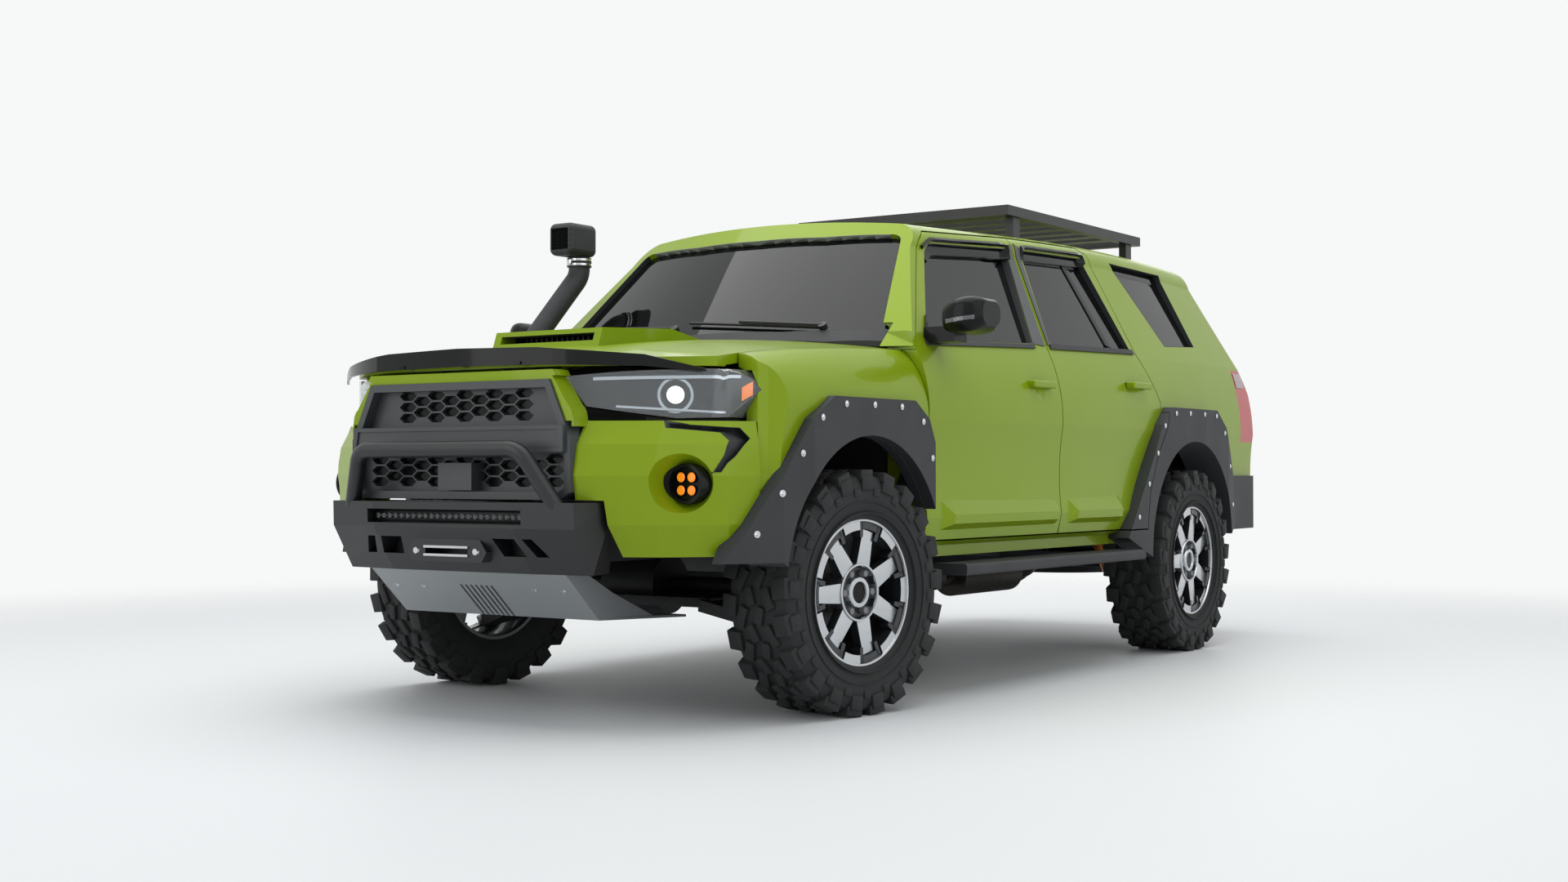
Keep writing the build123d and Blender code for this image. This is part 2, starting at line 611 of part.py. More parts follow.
def fixed_glass():
    quarter = PANE_LAYER & side_face(grown(QUARTER_WINDOW, 12), 400, 1100)
    return solids(SHIELD_GLASS, quarter, flip(quarter))


# mirror sections out from the door: y, length, height, middle x, middle z
MIRROR = [(952, 150, 92, 862, 1346), (1010, 196, 122, 858, 1350), (1070, 186, 116, 852, 1356),
          (1100, 130, 84, 846, 1358)]


def mirror_unit():
    sections = [Pos(0, y, 0) * (Plane.XZ * (Pos(x, z) * RectangleRounded(length, height, 38)))
                for y, length, height, x, z in MIRROR]
    stalk = box(800, 890, 850, 975, 1262, 1318)
    return loft(sections) + (stalk - OUTER)


# the hood's smoked strip in front view, (y, z): upper edge, then lower edge
DEFLECTOR_TOP = [(780, 1118), (640, 1160), (320, 1186), (0, 1192)]
DEFLECTOR_LOW = [(0, 1134), (320, 1132), (640, 1124), (780, 1108)]


def deflector():
    """A smoked strip standing ahead of the hood's front edge."""
    strip = extrude(offset(nose_plan(), 42, kind=Kind.INTERSECTION), 2000) - extrude(
        offset(nose_plan(), 34, kind=Kind.INTERSECTION), 2000)
    right_low = [(-y, z) for y, z in reversed(DEFLECTOR_LOW)]
    right_top = [(-y, z) for y, z in reversed(DEFLECTOR_TOP)]
    edge = DEFLECTOR_TOP + right_top[1:] + right_low + DEFLECTOR_LOW[1:]
    posts = [box(2270, 2362, y - 12, y + 12, 1134, 1144) for y in (-250, 0, 250)]
    return (strip & front(edge, 2020, 2500)) + (Part() + posts - NOSE_OUT)


STEP_GROOVES = (900, 922, 944, 966, 988)


def side_steps():
    board = fillet(box(-700, 860, 872, 1008, 436, 478).edges().filter_by(Axis.X), 12)
    board -= [box(-660, 820, y - 4, y + 4, 472, 490) for y in STEP_GROOVES]
    arms = [box(x - 24, x + 24, 432, 880, 440, 468) for x in (620, 60, -520)]
    return both(board + arms)


def roof_rack():
    rails = [box(-1745, -375, y - 20, y + 20, 1888, 1930) for y in (-510, 510)]
    ends = [box(x - 20, x + 20, -530, 530, 1888, 1930) for x in (-395, -1725)]
    slats = [box(x - 35, x + 35, -492, 492, 1900, 1920) for x in range(-560, -1600, -165)]
    legs = [box(x - 30, x + 30, y - 18, y + 18, 1790, 1892) for x in (-480, -1640) for y in (-498, 498)]
    holes = [rod((x, y, 1880), (x, y, 1940), RACK_HOLE_R) for x in (-560, -1550) for y in (-350, 350)]
    return (Part() + rails + ends + slats + legs) - OUTER - holes


def snorkel():
    tube = pipe([(1230, -880, 1140), (1110, -900, 1220), (960, -852, 1420), (836, -796, 1600),
                 (836, -796, 1690)], 43, 90)
    collar = rod((836, -796, 1636), (836, -796, 1672), 50)
    head = fillet(box(790, 960, -858, -734, 1676, 1806).edges(), 26) - box(946, 1000, -840, -752, 1698,
        1784)
    return (tube + collar + head) - NOSE_OUT - OUTER


def rear_bumper():
    half = [(-1945, 905), (-2280, 890), (-2420, 805), (-2470, 520), (-2482, 200)]
    form = plan(half + [(x, -y) for x, y in reversed(half)], 530, 786)
    return form - OUTER - box(-2352, -1000, -745, 745, 400, 900) - REAR_ARCHES - box(-2500, -2300, -44, 44,
        400, 616)


STEER_HUB = (625, 380, 1092)
STEER_TILT = 22
STEER_AXIS = (-cos(radians(STEER_TILT)), 0, sin(radians(STEER_TILT)))
COLUMN_R = 14


def dashboard():
    board = side([(956, 1190), (800, 1215), (700, 1170), (705, 960), (800, 830), (956, 830)], -760, 760)
    at = Plane(STEER_HUB, x_dir=(0, 1, 0), z_dir=STEER_AXIS)
    column = extrude(at.offset(-115) * Circle(32), 84) + extrude(at.offset(-115) * Circle(COLUMN_R), 111)
    return (board & INNER) + column


def steering_wheel():
    wheel = Torus(182, 16) + Pos(0, 0, -6) * Cylinder(52, 34)
    for turn in (0, 180, 270):
        wheel += Rot(0, 0, turn) * Pos(110, 0, -4) * Box(150, 30, 16)
    wheel -= Pos(0, 0, -20) * Cylinder(COLUMN_R + RUNNING_GAP, 40)
    return Plane(STEER_HUB, x_dir=(0, 1, 0), z_dir=STEER_AXIS) * wheel


def seat(dx, dz, y0, y1):
    cushion = [(390, 690), (380, 850), (-80, 800), (-80, 640), (330, 620)]
    back = [(-40, 780), (-130, 770), (-330, 1400), (-245, 1425), (40, 840)]
    rest = [(-262, 1410), (-320, 1400), (-372, 1600), (-300, 1612)]
    middle = (y0 + y1) / 2
    shape = side(cushion, y0, y1) + side(back, y0 + 10, y1 - 10) + side(rest, middle - 130, middle + 130)
    base = box(-60, 300, y0 + 40, y1 - 40, 574 - dz, 700)
    return Pos(dx, 0, dz) * (shape + base)


def front_seats():
    return both(seat(60, 0, 150, 640))


def rear_seat():
    return (seat(-716, 60, -10, 640) + seat(-716, 60, -640, 10)) & INNER


def powertrain():
    block = box(1180, 1720, -250, 250, 620, 1060) + box(1250, 1650, -160, 160, 525, 620)
    gearbox = side([(1190, 880), (1190, 500), (1000, 428), (280, 428), (280, 536), (990, 536), (1040, 700)],
                   -125, 125)
    shaft = rod((290, 0, 478), (-1238, 0, 425), 30)
    return block + gearbox + shaft


def fuel_tank():
    return fillet(box(-740, -170, -335, -60, 430, 540).edges(), 20)


def exhaust():
    muffler = rod((-430, 215, 350), (-960, 215, 350), 82)
    lead = pipe([(1000, 215, 325), (-250, 215, 325), (-450, 215, 345)], 28, 150)
    tail = pipe([(-950, 215, 350), (-1100, 250, 350), (-1400, 280, 590), (-1700, 560, 520),
                 (-2380, 600, 480)], 28, 90)
    return (muffler + lead + tail) - LADDER


def rear_axle():
    tube = rod((REAR_AXLE_X, -760, HUB_Z), (REAR_AXLE_X, 760, HUB_Z), 44)
    nut = Pos(REAR_AXLE_X, 0, HUB_Z) * Sphere(138)
    ends = [rod((REAR_AXLE_X, 700 * h, HUB_Z), (REAR_AXLE_X, 790 * h, HUB_Z), 150)
            + rod((REAR_AXLE_X, 780 * h, HUB_Z), (REAR_AXLE_X, (WHEEL_Y + 30) * h, HUB_Z), 60)
            + rod((REAR_AXLE_X, 780 * h, HUB_Z), (REAR_AXLE_X, (WHEEL_Y + 72) * h, HUB_Z), SPIGOT_R)
            for h in (1, -1)]
    links = [box(-1400, -780, 432 * h, 476 * h, 400, 440) for h in (1, -1)]
    return tube + nut + ends + links


STRUT = ((1416, 560, 460), (1395, 512, 846))


def lower_arm():
    return ConvexPolyhedron([(FRONT_AXLE_X + dx, y, z) for dx, y,
                             z in ((-190, 380, 330), (190, 380, 330), (-190, 380, 370),
                                                                    (190, 380, 370), (-36, 757, 218),
                                   (36, 757, 218),
                                                                    (-36, 757, 262), (36, 757, 262))])


def front_suspension():
    upper = ConvexPolyhedron([(FRONT_AXLE_X + dx, y, z) for dx, y,
                              z in ((-110, 432, 610), (110, 432, 610), (-110, 432, 640),
                                                                      (110, 432, 640), (-35, 760, 534),
                                    (35, 760, 534),
                                                                      (-35, 760, 566), (35, 760, 566))])
    upper -= rod((1427, 585, 259), STRUT[1], 56)
    shaft = rod((FRONT_AXLE_X, 90, HUB_Z), (FRONT_AXLE_X, 684, HUB_Z), 22)
    housing = rod((FRONT_AXLE_X, -118, HUB_Z), (FRONT_AXLE_X, 118, HUB_Z), 104)
    rack = rod((1235, -440, 396), (1235, 440, 396), 28)
    cross = box(1160, 1300, -430, 430, 340, 372) + box(1320, 1560, -400, 400, 340, 372)
    posts = both(box(1180, 1280, 352, 422, 370, 610))
    pins = [rod((FRONT_AXLE_X, KINGPIN_Y, z), (FRONT_AXLE_X, KINGPIN_Y, z + dz), BALL_PIN_R) for z,
            dz in ((240, 68), (550, -48))]
    return both(lower_arm() + upper + shaft + pins) + housing + rack + cross + posts


def dampers():
    legs = [box(x - 9, x + 9, 540, 580, 310, 470) for x in (1374, 1458)]
    strut = rod(*STRUT, 46) + legs + box(1365, 1467, 540, 580, 448, 474)
    shock = rod((-1326, 560, 360), (-1220, 470, 700), 38)
    return both(strut - lower_arm()) - LADDER, both(shock) - rear_axle()


def spare_wheel():
    half = 100
    profile = [(190, -80), (330, -half), (380, -70), (380, 70), (330, half), (190, 80)]
    carrier = box(-1975, -1905, -205, 205, 440, 480) + box(-1960, -1920, -20, 20, 470, 630)
    return Pos(-1940, 0, 414) * revolve(Plane.XZ * make_face(Polyline(*profile, close=True)),
                                        Axis.Z) + carrier


def main_solids(shape):
    """Drops slivers that a cut leaves behind."""
    return Compound(children=[solid for solid in shape.solids() if solid.volume > 40000])


def left_right(name, left):
    return {f"{name}_left": left, f"{name}_right": flip(left)}


LADDER = ladder_frame()
FRONT_FLARES, QUARTER_FLARES, DOOR_FLARES = flares()
SIDE_FRAMES = side_frames()
TAIL_PANEL = tail_panel(SIDE_FRAMES)
FRONT_DAMPER, REAR_DAMPER = dampers()
FRONT_RIM = {hand: Pos(0, (WHEEL_Y - KINGPIN_Y) * hand, 0) * rim(hand) for hand in (1, -1)}

NODES = {
    "ladder_frame": LADDER, "floor_and_firewall": floor_and_firewall(), "roof_panel": roof_panel(),
    "side_frames": SIDE_FRAMES - TAIL_PANEL, "tail_panel": TAIL_PANEL, "front_fenders": fenders(),
         "hood": hood(), "hood_deflector": deflector(),
    "headlamps": both(headlamp()), "fog_lamps": fog_lamps(), "bumper_cover": bumper_cover(),
         "grille": grille(), "winch_bumper": winch_bumper(),
    "skid_plate": skid_plate(), "wheel_flares": both(FRONT_FLARES) + both(QUARTER_FLARES),
         "side_steps": side_steps(),
    "roof_rack": roof_rack(), "snorkel": snorkel(), "fixed_glass": fixed_glass(),
         "rear_bumper": rear_bumper(),
    "tail_lamps": tail_lamps(), "tailgate": tailgate(), "tailgate_glass": tail_glass(),
         "dashboard": dashboard(),
    "steering_wheel": steering_wheel(), "front_seats": front_seats(), "rear_seat": rear_seat(),
         "powertrain": powertrain(),
    "fuel_tank": fuel_tank(), "exhaust": exhaust(), "rear_axle": rear_axle(),
         "front_suspension": front_suspension(),
    "dampers": FRONT_DAMPER + REAR_DAMPER, "spare_wheel": spare_wheel(),
    **left_right("front_door", door("front", FRONT_WINDOW)),
         **left_right("rear_door", door("rear", REAR_WINDOW)),
    **left_right("front_door_glass", door_glass(FRONT_WINDOW)),
         **left_right("rear_door_glass", door_glass(REAR_WINDOW)),
    **left_right("mirror", mirror_unit()), **left_right("rear_door_flare", DOOR_FLARES),
    "knuckle_left": knuckle(1), "knuckle_right": knuckle(-1),
    "tyre_front_left": steered(Pos(0, WHEEL_Y - KINGPIN_Y, 0) * tyre(), 1),
    "tyre_front_right": steered(Pos(0, KINGPIN_Y - WHEEL_Y, 0) * tyre(), -1),
    "tyre_rear_left": Pos(REAR_AXLE_X, WHEEL_Y, HUB_Z) * tyre(),
    "tyre_rear_right": Pos(REAR_AXLE_X, -WHEEL_Y, HUB_Z) * tyre(),
    "wheel_front_left": steered(FRONT_RIM[1], 1), "wheel_front_right": steered(FRONT_RIM[-1], -1),
    "wheel_rear_left": Pos(REAR_AXLE_X, WHEEL_Y, HUB_Z) * rim(1),
    "wheel_rear_right": Pos(REAR_AXLE_X, -WHEEL_Y, HUB_Z) * rim(-1),
}
if __name__ == "__main__":
    for name, shape in NODES.items():
        export_step(main_solids(shape), f"parts/{name}.step")
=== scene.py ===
"""Dresses a lifted off-road vehicle: finishes for its solids, then trim, lamps, tyres and seats."""
import math

import bmesh
import bpy
from mathutils import Matrix, Vector
from mathutils.bvhtree import BVHTree


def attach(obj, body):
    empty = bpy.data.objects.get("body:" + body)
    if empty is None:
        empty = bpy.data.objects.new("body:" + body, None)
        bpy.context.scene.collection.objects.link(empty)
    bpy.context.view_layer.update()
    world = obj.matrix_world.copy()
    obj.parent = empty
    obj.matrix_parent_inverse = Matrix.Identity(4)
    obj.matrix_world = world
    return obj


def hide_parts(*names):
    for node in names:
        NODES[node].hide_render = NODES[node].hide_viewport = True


bl_info = {
    "name": "Off-road vehicle looks",
    "version": (1, 0, 0),
    "blender": (4, 5, 0),
    "location": "View3D > Sidebar > Vehicle",
    "description": "Finishes, trim, lamps, tyres, seats and a plain studio for the vehicle",
    "category": "Object",
}

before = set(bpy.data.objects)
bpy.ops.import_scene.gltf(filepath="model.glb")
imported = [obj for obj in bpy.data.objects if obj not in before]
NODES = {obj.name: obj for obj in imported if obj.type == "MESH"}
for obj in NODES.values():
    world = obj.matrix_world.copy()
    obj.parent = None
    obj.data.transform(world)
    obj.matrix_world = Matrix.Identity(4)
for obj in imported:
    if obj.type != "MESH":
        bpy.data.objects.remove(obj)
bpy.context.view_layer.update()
MM = 0.001

FRONT_AXLE_X, REAR_AXLE_X, HUB_Z = 1.410, -1.380, 0.405
WHEEL_Y, KINGPIN_Y = 0.820, 0.735
STEER_AT_REST = math.radians(-8)
HANDS = {"left": 1, "right": -1}

# colour, second colour, metallic, roughness, clear coat, grain in mm, relief in mm
FINISHES = {
    # metallic lime enamel under clear lacquer: fine flake, soft highlights, deep in the shade
    "lime_enamel": ("#7f990a", "#8da612", 0.15, 0.36, 0.30, 2.0, 0.0),
    # grained polypropylene of the flares and cladding: dull, finely pebbled
    "pebbled_plastic": ("#25272a", "#2e3033", 0.0, 0.62, 0.0, 3.0, 0.25),
    # textured powder coat on steel: satin black with a fine orange peel
    "powder_coat": ("#151618", "#1d1e20", 0.0, 0.42, 0.0, 4.0, 0.12),
    # glossy smoked acrylic strip
    "smoked_acrylic": ("#0b0c0d", "#101113", 0.0, 0.14, 0.2, 60.0, 0.0),
    # satin dark-grey moulded grille
    "grille_plastic": ("#3a3d40", "#45484b", 0.0, 0.40, 0.0, 5.0, 0.08),
    # silver-grey painted aluminium sheet
    "silver_paint": ("#8d9194", "#9a9ea1", 0.5, 0.34, 0.3, 4.0, 0.04),
    # dark-painted pockets of the alloy wheel
    "wheel_anthracite": ("#2a2c2f", "#33363a", 0.5, 0.35, 0.5, 4.0, 0.03),
    # turned aluminium faces of the wheel
    "turned_aluminium": ("#c3c6c9", "#bbbec2", 0.95, 0.24, 0.4, 1.2, 0.01),
    # bright nickel bolts and rings
    "bright_metal": ("#d0d2d4", "#c2c4c6", 1.0, 0.16, 0.0, 10.0, 0.0),
    # sooty rubber, a little grey with dust
    "tyre_rubber": ("#191a1b", "#232425", 0.0, 0.78, 0.0, 6.0, 0.25),
    # rough cast and painted chassis parts
    "chassis_black": ("#17181a", "#222326", 0.0, 0.58, 0.0, 9.0, 0.2),
    # raw cast aluminium and iron: grey and grainy
    "cast_metal": ("#55585b", "#6a6d70", 0.7, 0.55, 0.0, 7.0, 0.3),
    # heat-stained exhaust pipe: brown-grey, patchy
    "exhaust_steel": ("#3b3936", "#56524c", 0.8, 0.45, 0.0, 25.0, 0.05),
    # bright stove enamel of the dampers
    "damper_orange": ("#e0500c", "#d2470a", 0.0, 0.32, 0.5, 6.0, 0.03),
    # soft-touch moulded dashboard, leather-grained
    "dash_plastic": ("#202225", "#282a2d", 0.0, 0.58, 0.0, 4.0, 0.18),
    # woven seat cloth
    "seat_cloth": ("#2b2d31", "#3a3c41", 0.0, 0.86, 0.0, 2.5, 0.35),
    # pale knitted headlining
    "headliner": ("#8a8c8c", "#969898", 0.0, 0.90, 0.0, 2.5, 0.3),
    # low-pile floor carpet
    "carpet": ("#1e1f21", "#2b2c2f", 0.0, 0.92, 0.0, 3.0, 0.6),
    # smooth black moulding of mirror shells and lamp rings, and painted shade: the dark sheets behind the
    # grille, snorkel and scoop openings
    "black_moulding_and_painted_shade": ("#0c0d0e", "#111213", 0.0, 0.30, 0.12, 40.0, 0.0),
    # blow-moulded polyethylene: black, waxy
    "tank_plastic": ("#141517", "#1c1d1f", 0.0, 0.5, 0.0, 8.0, 0.1),
    # chromed trim and mirror glass: sharp reflections
    "chrome": ("#e2e4e6", "#d6d8da", 1.0, 0.06, 0.0, 50.0, 0.0),
}

# which finish each solid of the frame takes
DRESS = {
    "lime_enamel": ["roof_panel", "side_frames", "tail_panel", "front_fenders", "hood", "bumper_cover",
                    "tailgate", "front_door_left", "front_door_right", "rear_door_left", "rear_door_right"],
    "pebbled_plastic": ["wheel_flares", "rear_door_flare_left", "rear_door_flare_right", "side_steps",
                        "snorkel", "rear_bumper"],
    "black_moulding_and_painted_shade": ["mirror_left", "mirror_right", "fog_lamps"],
    "powder_coat": ["winch_bumper", "roof_rack"],
    "chassis_black": ["ladder_frame", "rear_axle", "front_suspension", "floor_and_firewall"],
    "smoked_acrylic": ["hood_deflector"],
    "grille_plastic": ["grille"],
    "silver_paint": ["skid_plate"],
    "cast_metal": ["powertrain", "knuckle_left", "knuckle_right"],
    "exhaust_steel": ["exhaust"],
    "damper_orange": ["dampers"],
    "dash_plastic": ["dashboard", "steering_wheel"],
    "seat_cloth": ["front_seats", "rear_seat"],
    "tank_plastic": ["fuel_tank"],
    "tyre_rubber": ["spare_wheel", "tyre_front_left", "tyre_front_right", "tyre_rear_left",
                    "tyre_rear_right"],
    "wheel_anthracite": ["wheel_front_left", "wheel_front_right", "wheel_rear_left", "wheel_rear_right"],
    "tinted_glass": ["fixed_glass", "tailgate_glass", "front_door_glass_left", "front_door_glass_right",
                     "rear_door_glass_left", "rear_door_glass_right"],
    "lamp_lens": ["headlamps"],
    "red_lens": ["tail_lamps"],
}
# how far roughness wanders either way, as a share
ROUGHNESS_SPREAD, LENS_SPREAD = 0.15, 0.4
COAT_ROUGHNESS = 0.04
PLAIN_SPECULAR, LACQUERED_SPECULAR = 0.5, 0.12
WELD = 0.00005


def linear(colour):
    """An sRGB hex colour as linear RGBA."""
    parts = [int(colour[i:i + 2], 16) / 255 for i in (1, 3, 5)]
    return [c / 12.92 if c <= 0.04045 else ((c + 0.055) / 1.055) ** 2.4 for c in parts] + [1.0]


def add(tree, kind, links=None, settings=None, **values):
    """Adds a node: settings are its properties, values its inputs, links its inputs from (node, output)."""
    node = tree.nodes.new(kind)
    for key, value in (settings or {}).items():
        setattr(node, key, value)
    for key, value in values.items():
        node.inputs[key.replace("_", " ")].default_value = value
    for key, (source, output) in (links or {}).items():
        tree.links.new(source.outputs[output], node.inputs[key])
    return node


def new_material(name):
    made = bpy.data.materials.new(name)
    made.use_nodes = True
    made.node_tree.nodes.clear()
    return made, made.node_tree


def finish(name):
    """The named finish, made on first use."""
    if name in bpy.data.materials:
        return bpy.data.materials[name]
    if name in LENSES:
        return lens(name)
    colour, second, metallic, roughness, coat, grain, relief = FINISHES[name]
    made, tree = new_material(name)
    place = add(tree, "ShaderNodeTexCoord")
    fine = add(tree, "ShaderNodeTexNoise", {"Vector": (place, "Object")}, Scale=1 / (grain * MM),
               Detail=3.0)
    broad = add(tree, "ShaderNodeTexNoise", {"Vector": (place, "Object")}, Scale=6.0, Detail=2.0)
    blend = add(tree, "ShaderNodeMix", {"Factor": (fine, "Fac")}, {"data_type": "RGBA"})
    for socket, value in ((blend.inputs[6], colour), (blend.inputs[7], second)):
        socket.default_value = linear(value)
    rough = add(tree, "ShaderNodeMapRange", {"Value": (broad, "Fac")},
                To_Min=roughness * (1 - ROUGHNESS_SPREAD), To_Max=roughness * (1 + ROUGHNESS_SPREAD))
    links = {"Base Color": (blend, 2), "Roughness": (rough, "Result")}
    if relief:
        bump = add(tree, "ShaderNodeBump", {"Height": (fine, "Fac")}, Distance=relief * MM, Strength=0.6)
        links["Normal"] = (bump, "Normal")
    shader = add(tree, "ShaderNodeBsdfPrincipled", links, Metallic=metallic)
    shader.inputs["Coat Weight"].default_value = coat
    shader.inputs["Coat Roughness"].default_value = COAT_ROUGHNESS
    lacquered = coat and metallic < 0.5
    shader.inputs["Specular IOR Level"].default_value = LACQUERED_SPECULAR if lacquered else PLAIN_SPECULAR
    add(tree, "ShaderNodeOutputMaterial", {"Surface": (shader, "BSDF")})
    return made


# colour, roughness, transmission, glow, specular level
LENSES = {
    # laminated glass behind dark film: almost black from outside, with soft reflections
    "tinted_glass": ("#1a1c1d", 0.02, 0.70, 0.0, 0.02),
    # clear polycarbonate of the lamps
    "lamp_lens": ("#e8eef2", 0.02, 0.94, 0.0, 0.4),
    # red acrylic, lit from behind only by what falls in
    "red_lens": ("#8c0705", 0.06, 0.30, 0.0, 0.12),
    # amber acrylic of the fog lamps, switched on
    "amber_lens": ("#f08a1a", 0.08, 0.2, 0.6, 0.5),
    # face of a lamp that is switched on
    "white_glow": ("#ffffff", 0.1, 0.0, 3.0, 0.5),
}


def lens(name):
    """Clear or tinted glass and glowing lamp faces."""
    colour, roughness, clear, glow, specular = LENSES[name]
    made, tree = new_material(name)
    place = add(tree, "ShaderNodeTexCoord")
    noise = add(tree, "ShaderNodeTexNoise", {"Vector": (place, "Object")}, Scale=9.0)
    rough = add(tree, "ShaderNodeMapRange", {"Value": (noise, "Fac")},
                To_Min=roughness * (1 - LENS_SPREAD), To_Max=roughness * (1 + LENS_SPREAD))
    shader = add(tree, "ShaderNodeBsdfPrincipled", {"Roughness": (rough, "Result")},
                 Base_Color=linear(colour), IOR=1.5)
    shader.inputs["Transmission Weight"].default_value = clear
    shader.inputs["Specular IOR Level"].default_value = specular
    shader.inputs["Emission Color"].default_value = linear(colour)
    shader.inputs["Emission Strength"].default_value = glow
    add(tree, "ShaderNodeOutputMaterial", {"Surface": (shader, "BSDF")})
    return made


def piece(name, bm, body, finishes, stands_for=(), smooth=35):
    """A finished mesh that rides on a body; its faces' material indices follow the list of finishes."""
    mesh = bpy.data.meshes.new(name)
    bm.normal_update()
    bm.to_mesh(mesh)
    bm.free()
    made = bpy.data.objects.new(name, mesh)
    bpy.context.scene.collection.objects.link(made)
    for each in finishes:
        mesh.materials.append(finish(each))
    if smooth:
        mesh.shade_smooth()
        mesh.set_sharp_from_angle(angle=math.radians(smooth))
    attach(made, body)
    if stands_for:
        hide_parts(*stands_for)
    return made


def faces_of(verts):
    return {face for vert in verts for face in vert.link_faces}


def edges_of(verts):
    return {edge for vert in verts for edge in vert.link_edges}


def paint(faces, index):
    """Points faces at a finish in their piece's list."""
    for face in faces:
        if face.is_valid:
            face.material_index = index


def raise_rim(bm, edges, vec):
    """Draws a wall out from a rim."""
    wall = bmesh.ops.extrude_edge_only(bm, edges=edges)["geom"]
    bmesh.ops.translate(bm, verts=[item for item in wall if isinstance(item, bmesh.types.BMVert)], vec=vec)


def block(bm, low, high, bevel=0.0, matrix=Matrix(), index=0):
    """A box between two corners, with rounded edges when a bevel is given."""
    low, high = Vector(low), Vector(high)
    middle, size = Matrix.Translation((low + high) / 2), Matrix.Diagonal((*(high - low), 1))
    made = bmesh.ops.create_cube(bm, size=1, matrix=matrix @ middle @ size)
    faces = faces_of(made["verts"])
    if bevel:
        rounded = bmesh.ops.bevel(bm, geom=list(edges_of(made["verts"])), offset=bevel, segments=2,
                                  profile=0.5, affect="EDGES", material=-1)
        faces |= set(rounded["faces"])
    paint(faces, index)


def disc(bm, centre, axis, radius, height, segments=24, tip=None, index=0):
    """A round boss along an axis, narrowed to a tip radius when one is given."""
    turn = Vector((0, 0, 1)).rotation_difference(Vector(axis)).to_matrix().to_4x4()
    made = bmesh.ops.create_cone(bm, cap_ends=True, segments=segments, radius1=radius,
                                 radius2=radius if tip is None else tip, depth=height,
                                 matrix=Matrix.Translation(Vector(centre)) @ turn)
    paint(faces_of(made["verts"]), index)


def turned(bm, profile, steps, index=0):
    """A closed profile of (radius, y) points spun about the Y axis into a solid ring."""
    verts = [bmesh.ops.create_vert(bm, co=(radius, y, 0))["vert"][0] for radius, y in profile]
    edges = [bm.edges.new(pair) for pair in zip(verts, verts[1:] + verts[:1])]
    before = set(bm.faces)
    bmesh.ops.spin(bm, geom=verts + edges, cent=(0, 0, 0), axis=(0, 1, 0), angle=math.tau, steps=steps,
                   use_merge=True)
    paint(set(bm.faces) - before, index)


def slab(bm, outline, depth, matrix=Matrix(), bevel=0.0, index=0, top_index=None):
    """A flat outline of (x, y) points raised by depth along z, then put in place by the matrix."""
    before = set(bm.faces)
    verts = [bmesh.ops.create_vert(bm, co=(x, y, 0))["vert"][0] for x, y in outline]
    base = bmesh.ops.contextual_create(bm, geom=verts)["faces"]
    area = sum(a[0] * b[1] - b[0] * a[1] for a, b in zip(outline, outline[1:] + outline[:1])) / 2
    if base[0].normal.z > 0 or area > 0:
        bmesh.ops.reverse_faces(bm, faces=base)
    raised = bmesh.ops.extrude_face_region(bm, geom=base, use_keep_orig=True)["geom"]
    top = [item for item in raised if isinstance(item, bmesh.types.BMVert)]
    bmesh.ops.translate(bm, verts=top, vec=(0, 0, depth))
    if bevel:
        rim = {edge for item in raised if isinstance(item, bmesh.types.BMFace) for edge in item.edges}
        bmesh.ops.bevel(bm, geom=list(rim), offset=bevel, segments=2, profile=0.5, affect="EDGES",
                        material=-1)
    faces = set(bm.faces) - before
    bmesh.ops.recalc_face_normals(bm, faces=list(faces))
    for face in faces:
        face.material_index = index
        if top_index is not None and face.normal.z > 0.9 and face.calc_center_median().z > depth * 0.9:
            face.material_index = top_index
    bmesh.ops.transform(bm, matrix=matrix, verts=list({vert for face in faces for vert in face.verts}))


def sector(bm, inner, outer, low, high, start, sweep, steps=8, index=0, top_index=None):
    """A block of a ring about the Y axis, from an inner to an outer radius and from y low to y high."""
    before = set(bm.faces)
    turn = Matrix.Rotation(start, 4, "Y")
    section = ((inner, low), (outer, low), (outer, high), (inner, high))
    corners = [turn @ Vector((radius, y, 0)) for radius, y in section]
    verts = [bmesh.ops.create_vert(bm, co=corner)["vert"][0] for corner in corners]
    base = bmesh.ops.contextual_create(bm, geom=verts)["faces"]
    bmesh.ops.spin(bm, geom=base + list(base[0].edges) + verts, cent=(0, 0, 0), axis=(0, 1, 0), angle=sweep,
                   steps=steps)
    faces = list(set(bm.faces) - before)
    bmesh.ops.recalc_face_normals(bm, faces=faces)
    for face in faces:
        outward = top_index is not None and face.normal.y > 0.9
        face.material_index = top_index if outward else index


def patch(bm, along, across, place, thickness=0.0, index=0):
    """A grid laid on a surface: place(u, v) gives each point for u and v from 0 to 1; then thickened."""
    made = bmesh.ops.create_grid(bm, x_segments=along, y_segments=across, size=0.5)
    for vert in made["verts"]:
        vert.co = place(vert.co.x + 0.5, vert.co.y + 0.5)
    faces = list(faces_of(made["verts"]))
    if thickness:
        before = set(bm.faces)
        bm.normal_update()
        bmesh.ops.solidify(bm, geom=faces, thickness=thickness)
        faces += list(set(bm.faces) - before)
    bmesh.ops.recalc_face_normals(bm, faces=faces)
    paint(faces, index)


